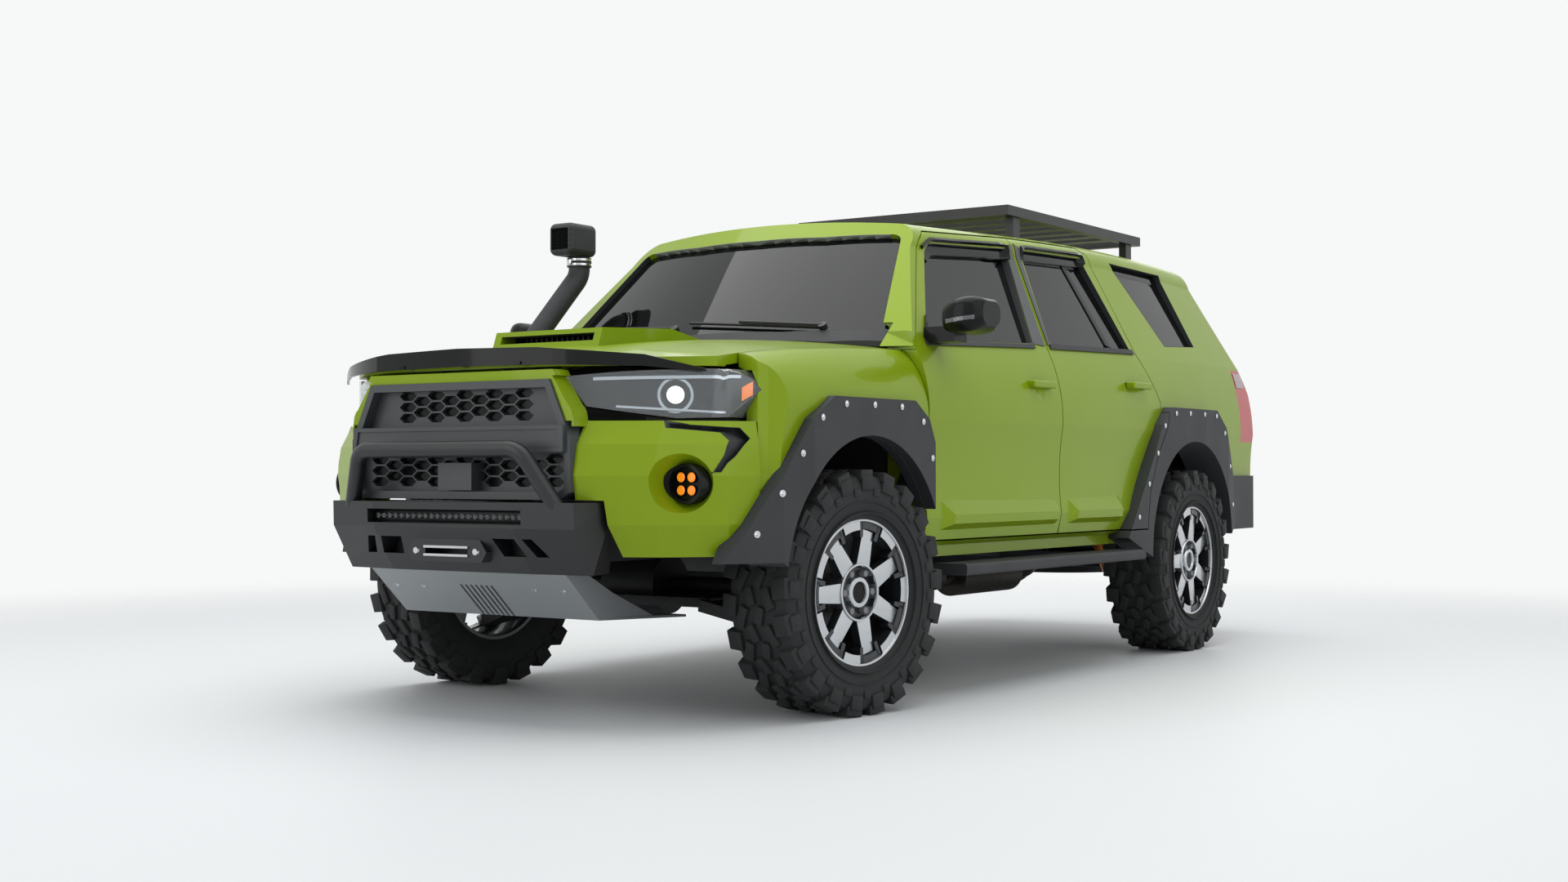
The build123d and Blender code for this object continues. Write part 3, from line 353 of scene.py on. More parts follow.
def tube(bm, points, radius, segments=10, index=0):
    """A round bar through points."""
    points = [Vector(point) for point in points]
    before = set(bm.faces)
    rings = []
    for i, point in enumerate(points):
        ahead = (points[min(i + 1, len(points) - 1)] - points[max(i - 1, 0)]).normalized()
        turn = ahead.to_track_quat("Z", "Y").to_matrix().to_4x4()
        ends = i in (0, len(points) - 1)
        ring = bmesh.ops.create_circle(bm, cap_ends=ends, segments=segments, radius=radius,
                                       matrix=Matrix.Translation(point) @ turn)["verts"]
        rings.append(list(edges_of(ring)))
    for one, other in zip(rings, rings[1:]):
        bmesh.ops.bridge_loops(bm, edges=one + other)
    faces = list(set(bm.faces) - before)
    bmesh.ops.recalc_face_normals(bm, faces=faces)
    paint(faces, index)


def skin(names):
    """A finder of some solids' surface: ray(point, direction) gives the place hit and its normal."""
    joined = bmesh.new()
    for name in names:
        joined.from_mesh(NODES[name].data)
    tree = BVHTree.FromBMesh(joined)
    joined.free()

    def ray(point, direction):
        place, normal, _, _ = tree.ray_cast(Vector(point), Vector(direction))
        if place is None:
            raise RuntimeError(f"no surface of {names} at {tuple(point)}")
        return place, normal
    return ray


def lining(name, node, body, look, keep, thickness=0.0015, gap=0.0004):
    """A thin lining a gap away from those faces of a solid that keep(centre, normal) picks."""
    bm = bmesh.new()
    bm.from_mesh(NODES[node].data)
    bmesh.ops.remove_doubles(bm, verts=bm.verts, dist=WELD)
    spare = [face for face in bm.faces if not keep(face.calc_center_median(), face.normal)]
    bmesh.ops.delete(bm, geom=spare, context="FACES")
    if not bm.faces:
        raise RuntimeError(f"{name} lines no face of {node}")
    bm.normal_update()
    for vert in bm.verts:
        vert.co += vert.normal * (thickness + gap)
    bmesh.ops.solidify(bm, geom=bm.faces, thickness=thickness)
    bmesh.ops.recalc_face_normals(bm, faces=bm.faces)
    paint(bm.faces, 0)
    piece(name, bm, body, [look])


def nearest(point, start, end):
    """The point of a flat stretch that lies nearest to a point."""
    run = end - start
    return start + run * min(max((point - start).dot(run) / run.length_squared, 0), 1)


def within(point, outline):
    """Whether a flat point lies inside a closed outline."""
    hits = 0
    for (ax, ay), (bx, by) in zip(outline, outline[1:] + outline[:1]):
        if (ay > point[1]) != (by > point[1]):
            hits += point[0] < ax + (point[1] - ay) * (bx - ax) / (by - ay)
    return hits % 2 == 1


def wheel_places():
    """Name, body and matrix of each wheel; the front pair is steered."""
    steer = Matrix.Rotation(STEER_AT_REST, 4, "Z")
    for side, hand in HANDS.items():
        half_turn = Matrix.Rotation(0 if hand > 0 else math.pi, 4, "Z")
        offset = Matrix.Translation((0, (WHEEL_Y - KINGPIN_Y) * hand, 0))
        kingpin = Matrix.Translation((FRONT_AXLE_X, KINGPIN_Y * hand, HUB_Z))
        yield f"front_{side}", f"roll_front_{side}", kingpin @ steer @ offset @ half_turn
        hub = Matrix.Translation((REAR_AXLE_X, WHEEL_Y * hand, HUB_Z))
        yield f"rear_{side}", f"roll_rear_{side}", hub @ half_turn


class VehicleProps(bpy.types.PropertyGroup):
    """Sizes and colours that a user would change."""
    lug_rows: bpy.props.IntProperty(name="Lugs round a tyre", description="Shoulder lugs on each side",
                                    default=21)
    bolt_mm: bpy.props.FloatProperty(name="Bolt", description="Flare bolt width in mm", default=13.0)
    seat_soft: bpy.props.FloatProperty(name="Seat crown",
                                       description="How far the pads are drawn in at their edges",
                                       default=0.42)
    bowl_depth: bpy.props.FloatProperty(name="Lamp depth", description="Depth of the lamp bowls",
                                        default=0.07, unit="LENGTH")
    lens_mm: bpy.props.FloatProperty(name="Lens", description="Focal length in millimetres", default=43.55)
    floor_colour: bpy.props.StringProperty(name="Floor", description="Floor colour as sRGB hex",
                                           default="#eceeef")


class VEHICLE_OT_finishes(bpy.types.Operator):
    """Gives each solid of the frame its finish"""
    bl_idname = "vehicle.finishes"
    bl_label = "Finishes"

    def execute(self, context):
        for name, nodes in DRESS.items():
            for node in nodes:
                slots = NODES[node].data.materials
                slots.clear()
                slots.append(finish(name))
        return {"FINISHED"}


# radius and y of the tyre's carcass, outer side towards +y
CARCASS = ((0.232, -0.110), (0.262, -0.127), (0.315, -0.135), (0.352, -0.132), (0.380, -0.120),
           (0.391, -0.100), (0.392, -0.050), (0.392, 0.050), (0.391, 0.100), (0.380, 0.120),
           (0.352, 0.132), (0.315, 0.135), (0.262, 0.127), (0.232, 0.110))
# half length round the tyre, y from, y to, radius from, radius to, lean in degrees, shift in lug pitches
LUGS = ((0.034, 0.078, 0.134, 0.372, 0.4045, 6, 0.0), (0.027, 0.116, 0.1395, 0.338, 0.384, 0, 0.0),
        (0.016, 0.120, 0.1385, 0.318, 0.345, 0, 0.5), (0.036, 0.040, 0.074, 0.380, 0.4045, 24, 0.30),
        (0.030, 0.004, 0.034, 0.380, 0.4045, -18, 0.75))
LUG_BEVEL = 0.003
# radii of the thin ribs round the sidewall
SIDEWALL_RIBS = (0.300, 0.262)


class VEHICLE_OT_tyres(bpy.types.Operator):
    """Mud tyres: a carcass, interlocked tread blocks and lugs down the sidewall"""
    bl_idname = "vehicle.tyres"
    bl_label = "Tyres"

    def execute(self, context):
        count = context.scene.vehicle.lug_rows
        for name, body, matrix in wheel_places():
            bm = bmesh.new()
            turned(bm, CARCASS, 96)
            for radius in SIDEWALL_RIBS:
                turned(bm, ((radius - 0.003, 0.12), (radius + 0.003, 0.12), (radius + 0.002, 0.1365),
                            (radius - 0.002, 0.1365)), 72)
            for half, low, high, inner, outer, lean, shift in LUGS:
                for step in range(count):
                    for hand in (1, -1):
                        turn = Matrix.Rotation(math.tau * (step + shift + (hand < 0) * 0.5) / count, 4, "Y")
                        middle = Matrix.Translation((0, (low + high) / 2 * hand, 0))
                        twist = middle @ Matrix.Rotation(math.radians(lean) * hand, 4, "Z")
                        half_y = (high - low) / 2
                        block(bm, (-half, -half_y, inner), (half, half_y, outer), LUG_BEVEL, turn @ twist)
            bmesh.ops.recalc_face_normals(bm, faces=bm.faces)
            bmesh.ops.transform(bm, matrix=matrix, verts=bm.verts)
            made = piece(f"tyre_{name}_tread", bm, body, ["tyre_rubber"], [f"tyre_{name}"])
        return {"FINISHED"}


# radius and y of the wheel's turned rings, outer side towards +y
BARREL = ((0.2445, 0.106), (0.236, 0.100), (0.229, 0.094), (0.224, 0.070), (0.222, -0.070), (0.2285, -0.094),
          (0.236, -0.100), (0.2445, -0.106), (0.2445, -0.112), (0.2235, -0.112), (0.2172, -0.098),
          (0.2095, 0.066), (0.212, 0.086), (0.222, 0.104), (0.232, 0.108))
LIP = ((0.2445, 0.104), (0.2445, 0.115), (0.2410, 0.117), (0.2350, 0.116), (0.2325, 0.110),
       (0.2325, 0.104))
HUB_RING = ((0.0970, 0.040), (0.0985, 0.101), (0.0955, 0.106), (0.0890, 0.106), (0.0865, 0.100),
            (0.0865, 0.040))
CAP_RING = ((0.0530, 0.070), (0.0520, 0.098), (0.0490, 0.103), (0.0360, 0.104), (0.0335, 0.098),
            (0.0335, 0.070))
SPOKES = 7
# a spoke's outline (radius, half width both ways) and its thickness
SPOKE = [(0.085, -0.034), (0.208, -0.027), (0.208, 0.027), (0.085, 0.034)]
SPOKE_THICK = 0.036
# angles from a spoke's middle: the dark frame round its head, that frame's bars, the bright rim between
FRAME_HALF, BAR_HALF, RIM_START = math.radians(11.5), math.radians(2.2), math.radians(15)
NUTS, NUT_CIRCLE = 6, 0.070


class VEHICLE_OT_wheels(bpy.types.Operator):
    """Seven-spoke alloy wheels: turned faces, dark pockets, nuts and a bare cap"""
    bl_idname = "vehicle.wheels"
    bl_label = "Wheels"

    def execute(self, context):
        dark, bright, nut, cap = range(4)
        for name, body, matrix in wheel_places():
            bm = bmesh.new()
            turned(bm, BARREL, 84, dark)
            turned(bm, LIP, 84, bright)
            turned(bm, HUB_RING, 56, bright)
            turned(bm, CAP_RING, 48, bright)
            disc(bm, (0, 0.059, 0), (0, 1, 0), 0.0900, 0.042, 48, index=dark)
            disc(bm, (0, 0.086, 0), (0, 1, 0), 0.0340, 0.022, 40, tip=0.031, index=cap)
            for step in range(SPOKES):
                angle = math.tau * step / SPOKES
                turn = Matrix.Rotation(angle, 4, "Y")
                lay = turn @ Matrix.Translation((0, 0.066, 0)) @ Matrix.Rotation(-math.pi / 2, 4, "X")
                slab(bm, SPOKE, SPOKE_THICK, lay, 0.003, dark, bright)
                sector(bm, 0.210, 0.234, 0.074, 0.108, angle - FRAME_HALF, 2 * FRAME_HALF, 6, dark)
                for hand in (1, -1):
                    start = angle + hand * FRAME_HALF - BAR_HALF
                    sector(bm, 0.182, 0.234, 0.070, 0.108, start, 2 * BAR_HALF, 3, dark)
                gap = math.tau / SPOKES - 2 * RIM_START
                sector(bm, 0.206, 0.2335, 0.074, 0.1125, angle + RIM_START, gap, 8, dark, bright)
            for step in range(NUTS):
                angle = math.tau * step / NUTS
                place = (NUT_CIRCLE * math.cos(angle), 0.090, NUT_CIRCLE * math.sin(angle))
                disc(bm, place, (0, 1, 0), 0.0125, 0.022, 6, tip=0.0115, index=nut)
            bmesh.ops.recalc_face_normals(bm, faces=bm.faces)
            bmesh.ops.transform(bm, matrix=matrix, verts=bm.verts)
            made = piece(f"wheel_{name}_alloy", bm, body,
                         ["wheel_anthracite", "turned_aluminium", "cast_metal", "black_moulding_and_painted_shade"],
                         [f"wheel_{name}"])
        return {"FINISHED"}


# bolt places in side view (x, z)
FLARE_BOLTS = {
    "front": [(1.985, 0.610), (1.905, 0.735), (1.815, 0.860), (1.715, 0.975), (1.575, 1.022),
              (1.400, 1.024), (1.225, 1.022), (1.080, 0.975), (1.017, 0.850)],
    "rear": [(-1.150, 1.062), (-1.310, 1.066), (-1.480, 1.066), (-1.635, 1.062), (-1.748, 0.985),
             (-1.828, 0.830), (-1.880, 0.650)],
    "door": [(-0.745, 0.612), (-0.850, 0.752), (-0.945, 0.885), (-1.025, 1.005)],
}


class VEHICLE_OT_flare_bolts(bpy.types.Operator):
    """Round bright bolts along the wheel flares"""
    bl_idname = "vehicle.flare_bolts"
    bl_label = "Flare bolts"

    def execute(self, context):
        radius = context.scene.vehicle.bolt_mm * MM / 2
        for side, hand in HANDS.items():
            for zone, places in FLARE_BOLTS.items():
                body = f"door_rear_{side}" if zone == "door" else "body"
                find = skin([f"rear_door_flare_{side}"] if zone == "door" else ["wheel_flares"])
                bm = bmesh.new()
                for x, z in places:
                    place, normal = find((x, 2 * hand, z), (0, -hand, 0))
                    disc(bm, place + normal * 0.001, normal, radius * 1.7, 0.003, 18)
                    disc(bm, place + normal * 0.004, normal, radius, 0.004, 14, tip=radius * 0.6)
                piece(f"flare_bolts_{zone}_{side}", bm, body, ["bright_metal"])
        return {"FINISHED"}


# turns a flat outline (x, y) raised along z into one in front view (y, z) raised along x
UPRIGHT = Matrix(((0, 0, 1, 0), (1, 0, 0, 0), (0, 1, 0, 0), (0, 0, 0, 1)))
# half width at the foot, half width at the top, lowest and highest z of the grille's two meshes
MESH_ZONES = ((0.428, 0.352, 0.946, 1.060), (0.440, 0.440, 0.742, 0.858))
# x of the black sheets of painted shade that fill the grille's pockets
MESH_FLOOR_X = 2.3118


class VEHICLE_OT_grille(bpy.types.Operator):
    """Black sheets of painted shade behind the grille's long-hexagon mesh"""
    bl_idname = "vehicle.grille"
    bl_label = "Grille"

    def execute(self, context):
        bm = bmesh.new()
        for foot, top, low, high in MESH_ZONES:
            slab(bm, [(-foot, low), (foot, low), (top, high), (-top, high)], 0.0012,
                 Matrix.Translation((MESH_FLOOR_X, 0, 0)) @ UPRIGHT)
        made = piece("grille_shadow", bm, "body", ["black_moulding_and_painted_shade"])
        return {"FINISHED"}


# how far the projector lies behind the lens, and how far the bowl's rim stays behind it
PROJECTOR_DEPTH, BOWL_RIM_DEPTH = 0.045, 0.006


class VEHICLE_OT_headlamps(bpy.types.Operator):
    """Clear lenses over a dark bowl with a projector, a chrome brow and an amber marker"""
    bl_idname = "vehicle.headlamps"
    bl_label = "Headlamps"

    def execute(self, context):
        bowl_drop = context.scene.vehicle.bowl_depth
        find = skin(["headlamps"])
        for side, hand in HANDS.items():
            lens_bm = bmesh.new()
            lens_bm.from_mesh(NODES["headlamps"].data)
            bmesh.ops.remove_doubles(lens_bm, verts=lens_bm.verts, dist=WELD)
            other = [vert for vert in lens_bm.verts if vert.co.y * hand < 0]
            bmesh.ops.delete(lens_bm, geom=other, context="VERTS")
            outward = Vector((0.80, 0.60 * hand, 0.05)).normalized()
            back = [face for face in lens_bm.faces if face.normal.dot(outward) < 0.25]
            bmesh.ops.delete(lens_bm, geom=back, context="FACES")
            bowl = lens_bm.copy()
            bmesh.ops.translate(bowl, verts=bowl.verts, vec=-outward * bowl_drop)
            paint(bowl.faces, 0)
            rim = [edge for edge in bowl.edges if edge.is_boundary]
            raise_rim(bowl, rim, outward * (bowl_drop - BOWL_RIM_DEPTH))
            eye, _ = find((2.6, 0.690 * hand, 1.040), (-1, 0, 0))
            eye -= outward * PROJECTOR_DEPTH
            disc(bowl, eye - outward * 0.012, outward, 0.056, 0.050, 36, index=1)
            disc(bowl, eye + outward * 0.014, outward, 0.047, 0.010, 36, index=3)
            disc(bowl, eye + outward * 0.018, outward, 0.036, 0.018, 32, tip=0.020, index=2)

            def sunk(depth, low, high):
                def place(u, v):
                    (y0, z0), (y1, z1) = low, high
                    y, z = y0 + (y1 - y0) * u, z0[0] + (z0[1] - z0[0]) * u + v * (z1 - z0[0])
                    hit, _ = find((2.9, y * hand, z), (-1, 0, 0))
                    return hit - outward * depth
                return place
            patch(bowl, 20, 2, sunk(0.016, (0.475, (1.084, 1.092)), (0.830, 1.094)), 0.003, 1)
            patch(bowl, 16, 2, sunk(0.014, (0.540, (1.000, 0.982)), (0.800, 1.007)), 0.003, 1)
            patch(bowl, 6, 6, sunk(0.006, (0.832, (1.020, 1.040)), (0.852, 1.062)), 0.002, 4)
            piece(f"headlamp_bowl_{side}", bowl, "body",
                  ["black_moulding_and_painted_shade", "chrome", "white_glow", "black_moulding_and_painted_shade", "amber_lens"])
            bmesh.ops.recalc_face_normals(lens_bm, faces=lens_bm.faces)
            bmesh.ops.solidify(lens_bm, geom=lens_bm.faces, thickness=0.003)
            paint(lens_bm.faces, 0)
            stands = ["headlamps"] if side == "left" else []
            made = piece(f"headlamp_lens_{side}", lens_bm, "body", ["lamp_lens"], stands)
        return {"FINISHED"}


# front view (y, z) of the dark slot round each fog lamp
FOG_SLOT = [(0.686, 0.953), (0.840, 0.941), (0.860, 0.905), (0.845, 0.849), (0.824, 0.797), (0.803, 0.797),
            (0.821, 0.852), (0.827, 0.897), (0.804, 0.919), (0.686, 0.933)]
# side view (x, z) of the side windows
WINDOWS = {
    "front": [(0.880, 1.272), (0.575, 1.628), (0.520, 1.668), (-0.098, 1.706), (0.052, 1.306)],
    "rear": [(-0.112, 1.312), (-0.224, 1.712), (-0.790, 1.730), (-0.900, 1.332)],
    "quarter": [(-1.350, 1.372), (-1.090, 1.738), (-1.690, 1.736), (-1.752, 1.392)],
}
# faces this close to a window's outline take its seal
SEAL_REACH = 0.004
SILL_Z, DECK_TOP_Z = 0.62, 0.85
CABIN_BACK_X, CABIN_FRONT_X = -2.25, 0.95
HOOD_PAD_HALF_Y, HOOD_PAD_FRONT_X = 0.60, 2.15
ARCH_RADIUS, ARCH_FOOT_Z = 0.64, 0.45


class VEHICLE_OT_linings(bpy.types.Operator):
    """Window seals, door cards, headlining, wheel-arch liners and the dark slots of the bumper"""
    bl_idname = "vehicle.linings"
    bl_label = "Linings"

    def execute(self, context):
        def reveal(name):
            outline = [Vector(point) for point in WINDOWS[name]]
            edges = list(zip(outline, outline[1:] + outline[:1]))

            def keep(centre, normal):
                flat = Vector((centre.x, centre.z))
                near = min((flat - nearest(flat, *edge)).length for edge in edges)
                return abs(normal.y) < 0.6 and near < SEAL_REACH
            return keep

        def under_roof(centre, normal):
            return normal.z < -0.5

        def towards_cabin(centre, normal):
            inward = normal.y * centre.y < 0 and abs(normal.y) > 0.5
            return inward and centre.z > SILL_Z and not arch(centre, normal)

        def cabin_floor(centre, normal):
            inside = CABIN_BACK_X < centre.x < CABIN_FRONT_X and centre.z < DECK_TOP_Z
            return normal.z > 0.7 and inside

        def under_hood(centre, normal):
            inside = abs(centre.y) < HOOD_PAD_HALF_Y and centre.x < HOOD_PAD_FRONT_X
            return normal.z < -0.5 and inside

        def tailgate_inside(centre, normal):
            return normal.x > 0.5

        def arch(centre, normal):
            for axle in (FRONT_AXLE_X, REAR_AXLE_X):
                inwards = Vector((axle - centre.x, 0, HUB_Z - centre.z))
                near = inwards.length < ARCH_RADIUS and centre.z > ARCH_FOOT_Z
                if near and normal.dot(inwards.normalized()) > 0.35:
                    return True
            return False

        def fog_slot(centre, normal):
            return normal.x > -0.2 and within((abs(centre.y), centre.z), FOG_SLOT)

        for side, hand in HANDS.items():
            def inner(centre, normal):
                return normal.y * hand < -0.5
            for end in ("front", "rear"):
                body, door = f"door_{end}_{side}", f"{end}_door_{side}"
                lining(f"window_seal_{end}_{side}", door, body, "pebbled_plastic", reveal(end))
                lining(f"door_card_{end}_{side}", door, body, "dash_plastic", inner)
        lining("quarter_window_seals", "side_frames", "body", "pebbled_plastic", reveal("quarter"))
        lining("headlining", "roof_panel", "body", "headliner", under_roof)
        lining("post_trim", "side_frames", "body", "dash_plastic", towards_cabin)
        lining("floor_carpet", "floor_and_firewall", "body", "carpet", cabin_floor)
        lining("hood_pad", "hood", "hood_lid", "carpet", under_hood)
        lining("tailgate_card", "tailgate", "tailgate_lid", "dash_plastic", tailgate_inside)
        lining("front_arch_liners", "front_fenders", "body", "pebbled_plastic", arch)
        lining("rear_arch_liners", "side_frames", "body", "pebbled_plastic", arch)
        lining("fog_slots", "bumper_cover", "body", "pebbled_plastic", fog_slot)
        return {"FINISHED"}


def trim_strips(side):
    """Name, lower and upper edge in side view (x, z), thickness, finish, solids and body of each strip."""
    door = [f"front_door_{side}", f"front_door_glass_{side}"]
    rear = [f"rear_door_{side}", f"rear_door_glass_{side}"]
    fore, aft = f"door_front_{side}", f"door_rear_{side}"
    return (
        ("belt_front", [(0.900, 1.252), (0.045, 1.286)], [(0.896, 1.272), (0.052, 1.306)], 0.006,
         "pebbled_plastic", door, fore),
        ("belt_rear", [(-0.092, 1.290), (-0.920, 1.312)], [(-0.098, 1.310), (-0.912, 1.332)], 0.006,
         "pebbled_plastic", rear, aft),
        ("post_front", [(-0.048, 1.300), (-0.146, 1.730)], [(0.050, 1.306), (-0.098, 1.706)], 0.003,
         "grille_plastic", door, fore),
        ("post_rear", [(-0.114, 1.312), (-0.226, 1.712)], [(-0.080, 1.304), (-0.176, 1.735)], 0.003,
         "grille_plastic", rear, aft),
        ("sail", [(0.880, 1.272), (0.800, 1.276)], [(0.870, 1.284), (0.800, 1.366)], 0.010, "black_moulding_and_painted_shade",
         door, fore),
        ("visor_front", [(0.560, 1.586), (0.505, 1.618), (-0.085, 1.660)],
         [(0.585, 1.640), (0.520, 1.678), (-0.105, 1.716)], 0.012, "smoked_acrylic", door, fore),
        ("visor_rear", [(-0.205, 1.668), (-0.800, 1.690)], [(-0.222, 1.720), (-0.792, 1.740)], 0.012,
         "smoked_acrylic", rear, aft),
        ("divider", [(-0.735, 1.328), (-0.640, 1.724)], [(-0.700, 1.326), (-0.610, 1.722)], 0.004,
         "pebbled_plastic", rear, aft),
    )


def along(points, u):
    """The point at share u along a polyline."""
    lengths = [math.dist(a, b) for a, b in zip(points, points[1:])]
    left = u * sum(lengths)
    for (a, b), length in zip(zip(points, points[1:]), lengths):
        if left <= length:
            return Vector(a).lerp(Vector(b), left / length)
        left -= length
    return Vector(points[-1])


class VEHICLE_OT_window_trim(bpy.types.Operator):
    """Belt mouldings, door posts, sail panels and smoked visors round the side windows"""
    bl_idname = "vehicle.window_trim"
    bl_label = "Window trim"

    def execute(self, context):
        for side, hand in HANDS.items():
            for name, low, high, thick, look, solids, body in trim_strips(side):
                find = skin(solids)

                def place(u, v):
                    x, z = along(low, u).lerp(along(high, u), v)
                    hit, normal = find((x, 2 * hand, z), (0, -hand, 0))
                    return hit + normal * (thick + 0.001)
                bm = bmesh.new()
                patch(bm, 24, 3, place, thick)
                piece(f"{name}_{side}", bm, body, [look])
        return {"FINISHED"}


# middle of the left fog lamp, and how far its four lenses lie from it
FOG_LAMP, FOG_LENS_SHIFT = (2.1385, 0.735, 0.765), 0.020
LAMP_BAR_LENSES, LAMP_BAR_PITCH = 24, 0.0265
SCOOP_BARS, SCOOP_PITCH = 18, 0.02306


class VEHICLE_OT_front_lamps(bpy.types.Operator):
    """Amber fog lamps, the lamp bar in the steel bumper, its fairlead bolts, and the hood scoop's mesh on a
    black plate of painted shade
    """
    bl_idname = "vehicle.front_lamps"
    bl_label = "Front lamps and bumper"

    def execute(self, context):
        bm = bmesh.new()
        x, y, z = FOG_LAMP
        shifts = (-FOG_LENS_SHIFT, FOG_LENS_SHIFT)
        for hand in HANDS.values():
            for dy in shifts:
                for dz in shifts:
                    disc(bm, (x, y * hand + dy, z + dz), (1, 0, 0), 0.0150, 0.005, 20, tip=0.011)
        made = piece("fog_lamp_glasses", bm, "body", ["amber_lens"])
        bm = bmesh.new()
        block(bm, (2.394, -0.322, 0.643), (2.406, 0.322, 0.681), 0.003, index=0)
        for step in range(LAMP_BAR_LENSES):
            y = -0.305 + step * LAMP_BAR_PITCH
            disc(bm, (2.408, y, 0.662), (1, 0, 0), 0.0115, 0.005, 16, tip=0.008, index=1)
        piece("lamp_bar", bm, "body", ["black_moulding_and_painted_shade", "lamp_lens"])
        bm = bmesh.new()
        for y in (-0.128, 0.128):
            disc(bm, (2.414, y, 0.553), (1, 0, 0), 0.014, 0.010, 24, tip=0.010)
        for z in (0.566, 0.540):
            tube(bm, [(2.413, -0.095, z), (2.413, 0.095, z)], 0.005, 10)
        for y in (-0.36, -0.24, 0.24, 0.36):
            disc(bm, (2.2665, y, 0.4305), (0.68, 0, -0.73), 0.010, 0.008, 18, tip=0.008)
        piece("bumper_bolts", bm, "body", ["bright_metal"])
        bm = bmesh.new()
        # a black plate of painted shade behind the bars, for the dark inside the scoop
        block(bm, (1.856, -0.204, 1.2365), (1.862, 0.204, 1.2615), index=0)
        for step in range(SCOOP_BARS):
            y = -0.196 + step * SCOOP_PITCH
            block(bm, (1.862, y - 0.0015, 1.2365), (1.872, y + 0.0015, 1.2615), index=0)
        piece("scoop_mesh", bm, "hood_lid", ["black_moulding_and_painted_shade"])
        return {"FINISHED"}


# foot and tip of each wiper on the windscreen in front view (y, z), and its height off the glass
SCREEN_WIPERS = (((0.52, 1.312), (-0.06, 1.352)), ((-0.10, 1.322), (-0.62, 1.345)))
WIPER_LIFT = 0.012


class VEHICLE_OT_wipers(bpy.types.Operator):
    """Windscreen wipers parked along the foot of the glass, and one on the tailgate"""
    bl_idname = "vehicle.wipers"
    bl_label = "Wipers"

    def execute(self, context):
        find = skin(["fixed_glass"])
        bm = bmesh.new()
        for foot, tip in SCREEN_WIPERS:
            points = []
            for step in range(13):
                y, z = Vector(foot).lerp(Vector(tip), step / 12)
                place, normal = find((3, y, z), (-1, 0, 0))
                points.append(place + normal * WIPER_LIFT)
            tube(bm, points, 0.0055, 8)
            tube(bm, [point + Vector((0.012, 0, 0.010)) for point in points[:8]], 0.006, 8)
            disc(bm, points[0] + Vector((0.010, 0, 0.004)), (0.6, 0, 0.8), 0.016, 0.022, 16)
        piece("screen_wipers", bm, "body", ["powder_coat"])
        back = skin(["tailgate_glass", "tailgate"])
        bm = bmesh.new()
        points = []
        for step in range(9):
            place, normal = back((-4, -0.02 + 0.40 * step / 8, 1.345 + 0.02 * step / 8), (1, 0, 0))
            points.append(place + normal * WIPER_LIFT)
        tube(bm, points, 0.006, 8)
        disc(bm, points[0], (-1, 0, 0.4), 0.020, 0.030, 18)
        piece("tail_wiper", bm, "tailgate_lid", ["powder_coat"])
        return {"FINISHED"}


class VEHICLE_OT_mirrors(bpy.types.Operator):
    """Indicator strips on the mirror shells and the mirror glasses"""
    bl_idname = "vehicle.mirrors"
    bl_label = "Mirrors"

    def execute(self, context):
        for side, hand in HANDS.items():
            find = skin([f"mirror_{side}"])
            body = f"door_front_{side}"

            def strip(u, v):
                place, normal = find((3, (0.975 + 0.105 * u) * hand, 1.322 + 0.014 * v + 0.012 * u),
                                     (-1, 0, 0))
                return place + normal * 0.004

            def glass(u, v):
                place, normal = find((-1, (0.972 + 0.100 * u) * hand, 1.312 + 0.078 * v), (1, 0, 0))
                return place + normal * 0.003
            bm = bmesh.new()
            patch(bm, 12, 2, strip, 0.003)
            made = piece(f"mirror_indicator_{side}", bm, body, ["lamp_lens"])
            bm = bmesh.new()
            patch(bm, 10, 8, glass, 0.002)
            piece(f"mirror_glass_{side}", bm, body, ["chrome"])
        return {"FINISHED"}


# the mesh in the snorkel's mouth: rows, columns, spacing in y and z, cell radius and depth
CELL_ROWS, CELL_COLUMNS, CELL_Y, CELL_Z, CELL_RADIUS, CELL_DEPTH = 8, 7, 0.0135, 0.0108, 0.0072, 0.006


class VEHICLE_OT_snorkel(bpy.types.Operator):
    """Honeycomb in the snorkel's mouth over a black sheet of painted shade, and its steel clamps"""
    bl_idname = "vehicle.snorkel"
    bl_label = "Snorkel"

    def execute(self, context):
        bm = bmesh.new()
        # a black sheet of painted shade behind the open cells, for the dark inside the snorkel's mouth
        block(bm, (0.9465, -0.840, 1.698), (0.9480, -0.752, 1.784), index=1)
        facing = Matrix.Rotation(math.pi / 2, 4, "Y")
        for row in range(CELL_ROWS):
            for column in range(CELL_COLUMNS):
                y = -0.834 + CELL_Y * column + CELL_Y / 2 * (row % 2)
                place = Matrix.Translation((0.949, y, 1.7045 + CELL_Z * row)) @ facing
                made = bmesh.ops.create_circle(bm, cap_ends=False, segments=6, radius=CELL_RADIUS,
                                               matrix=place)
                raise_rim(bm, list(edges_of(made["verts"])), (CELL_DEPTH, 0, 0))
        piece("snorkel_mesh", bm, "body", ["pebbled_plastic", "black_moulding_and_painted_shade"], smooth=0)
        bm = bmesh.new()
        for z in (1.645, 1.664):
            disc(bm, (0.836, -0.796, z), (0, 0, 1), 0.0515, 0.008, 40)
        block(bm, (0.880, -0.806, 1.643), (0.902, -0.786, 1.667), 0.002)
        piece("snorkel_clamps", bm, "body", ["bright_metal"])
        return {"FINISHED"}


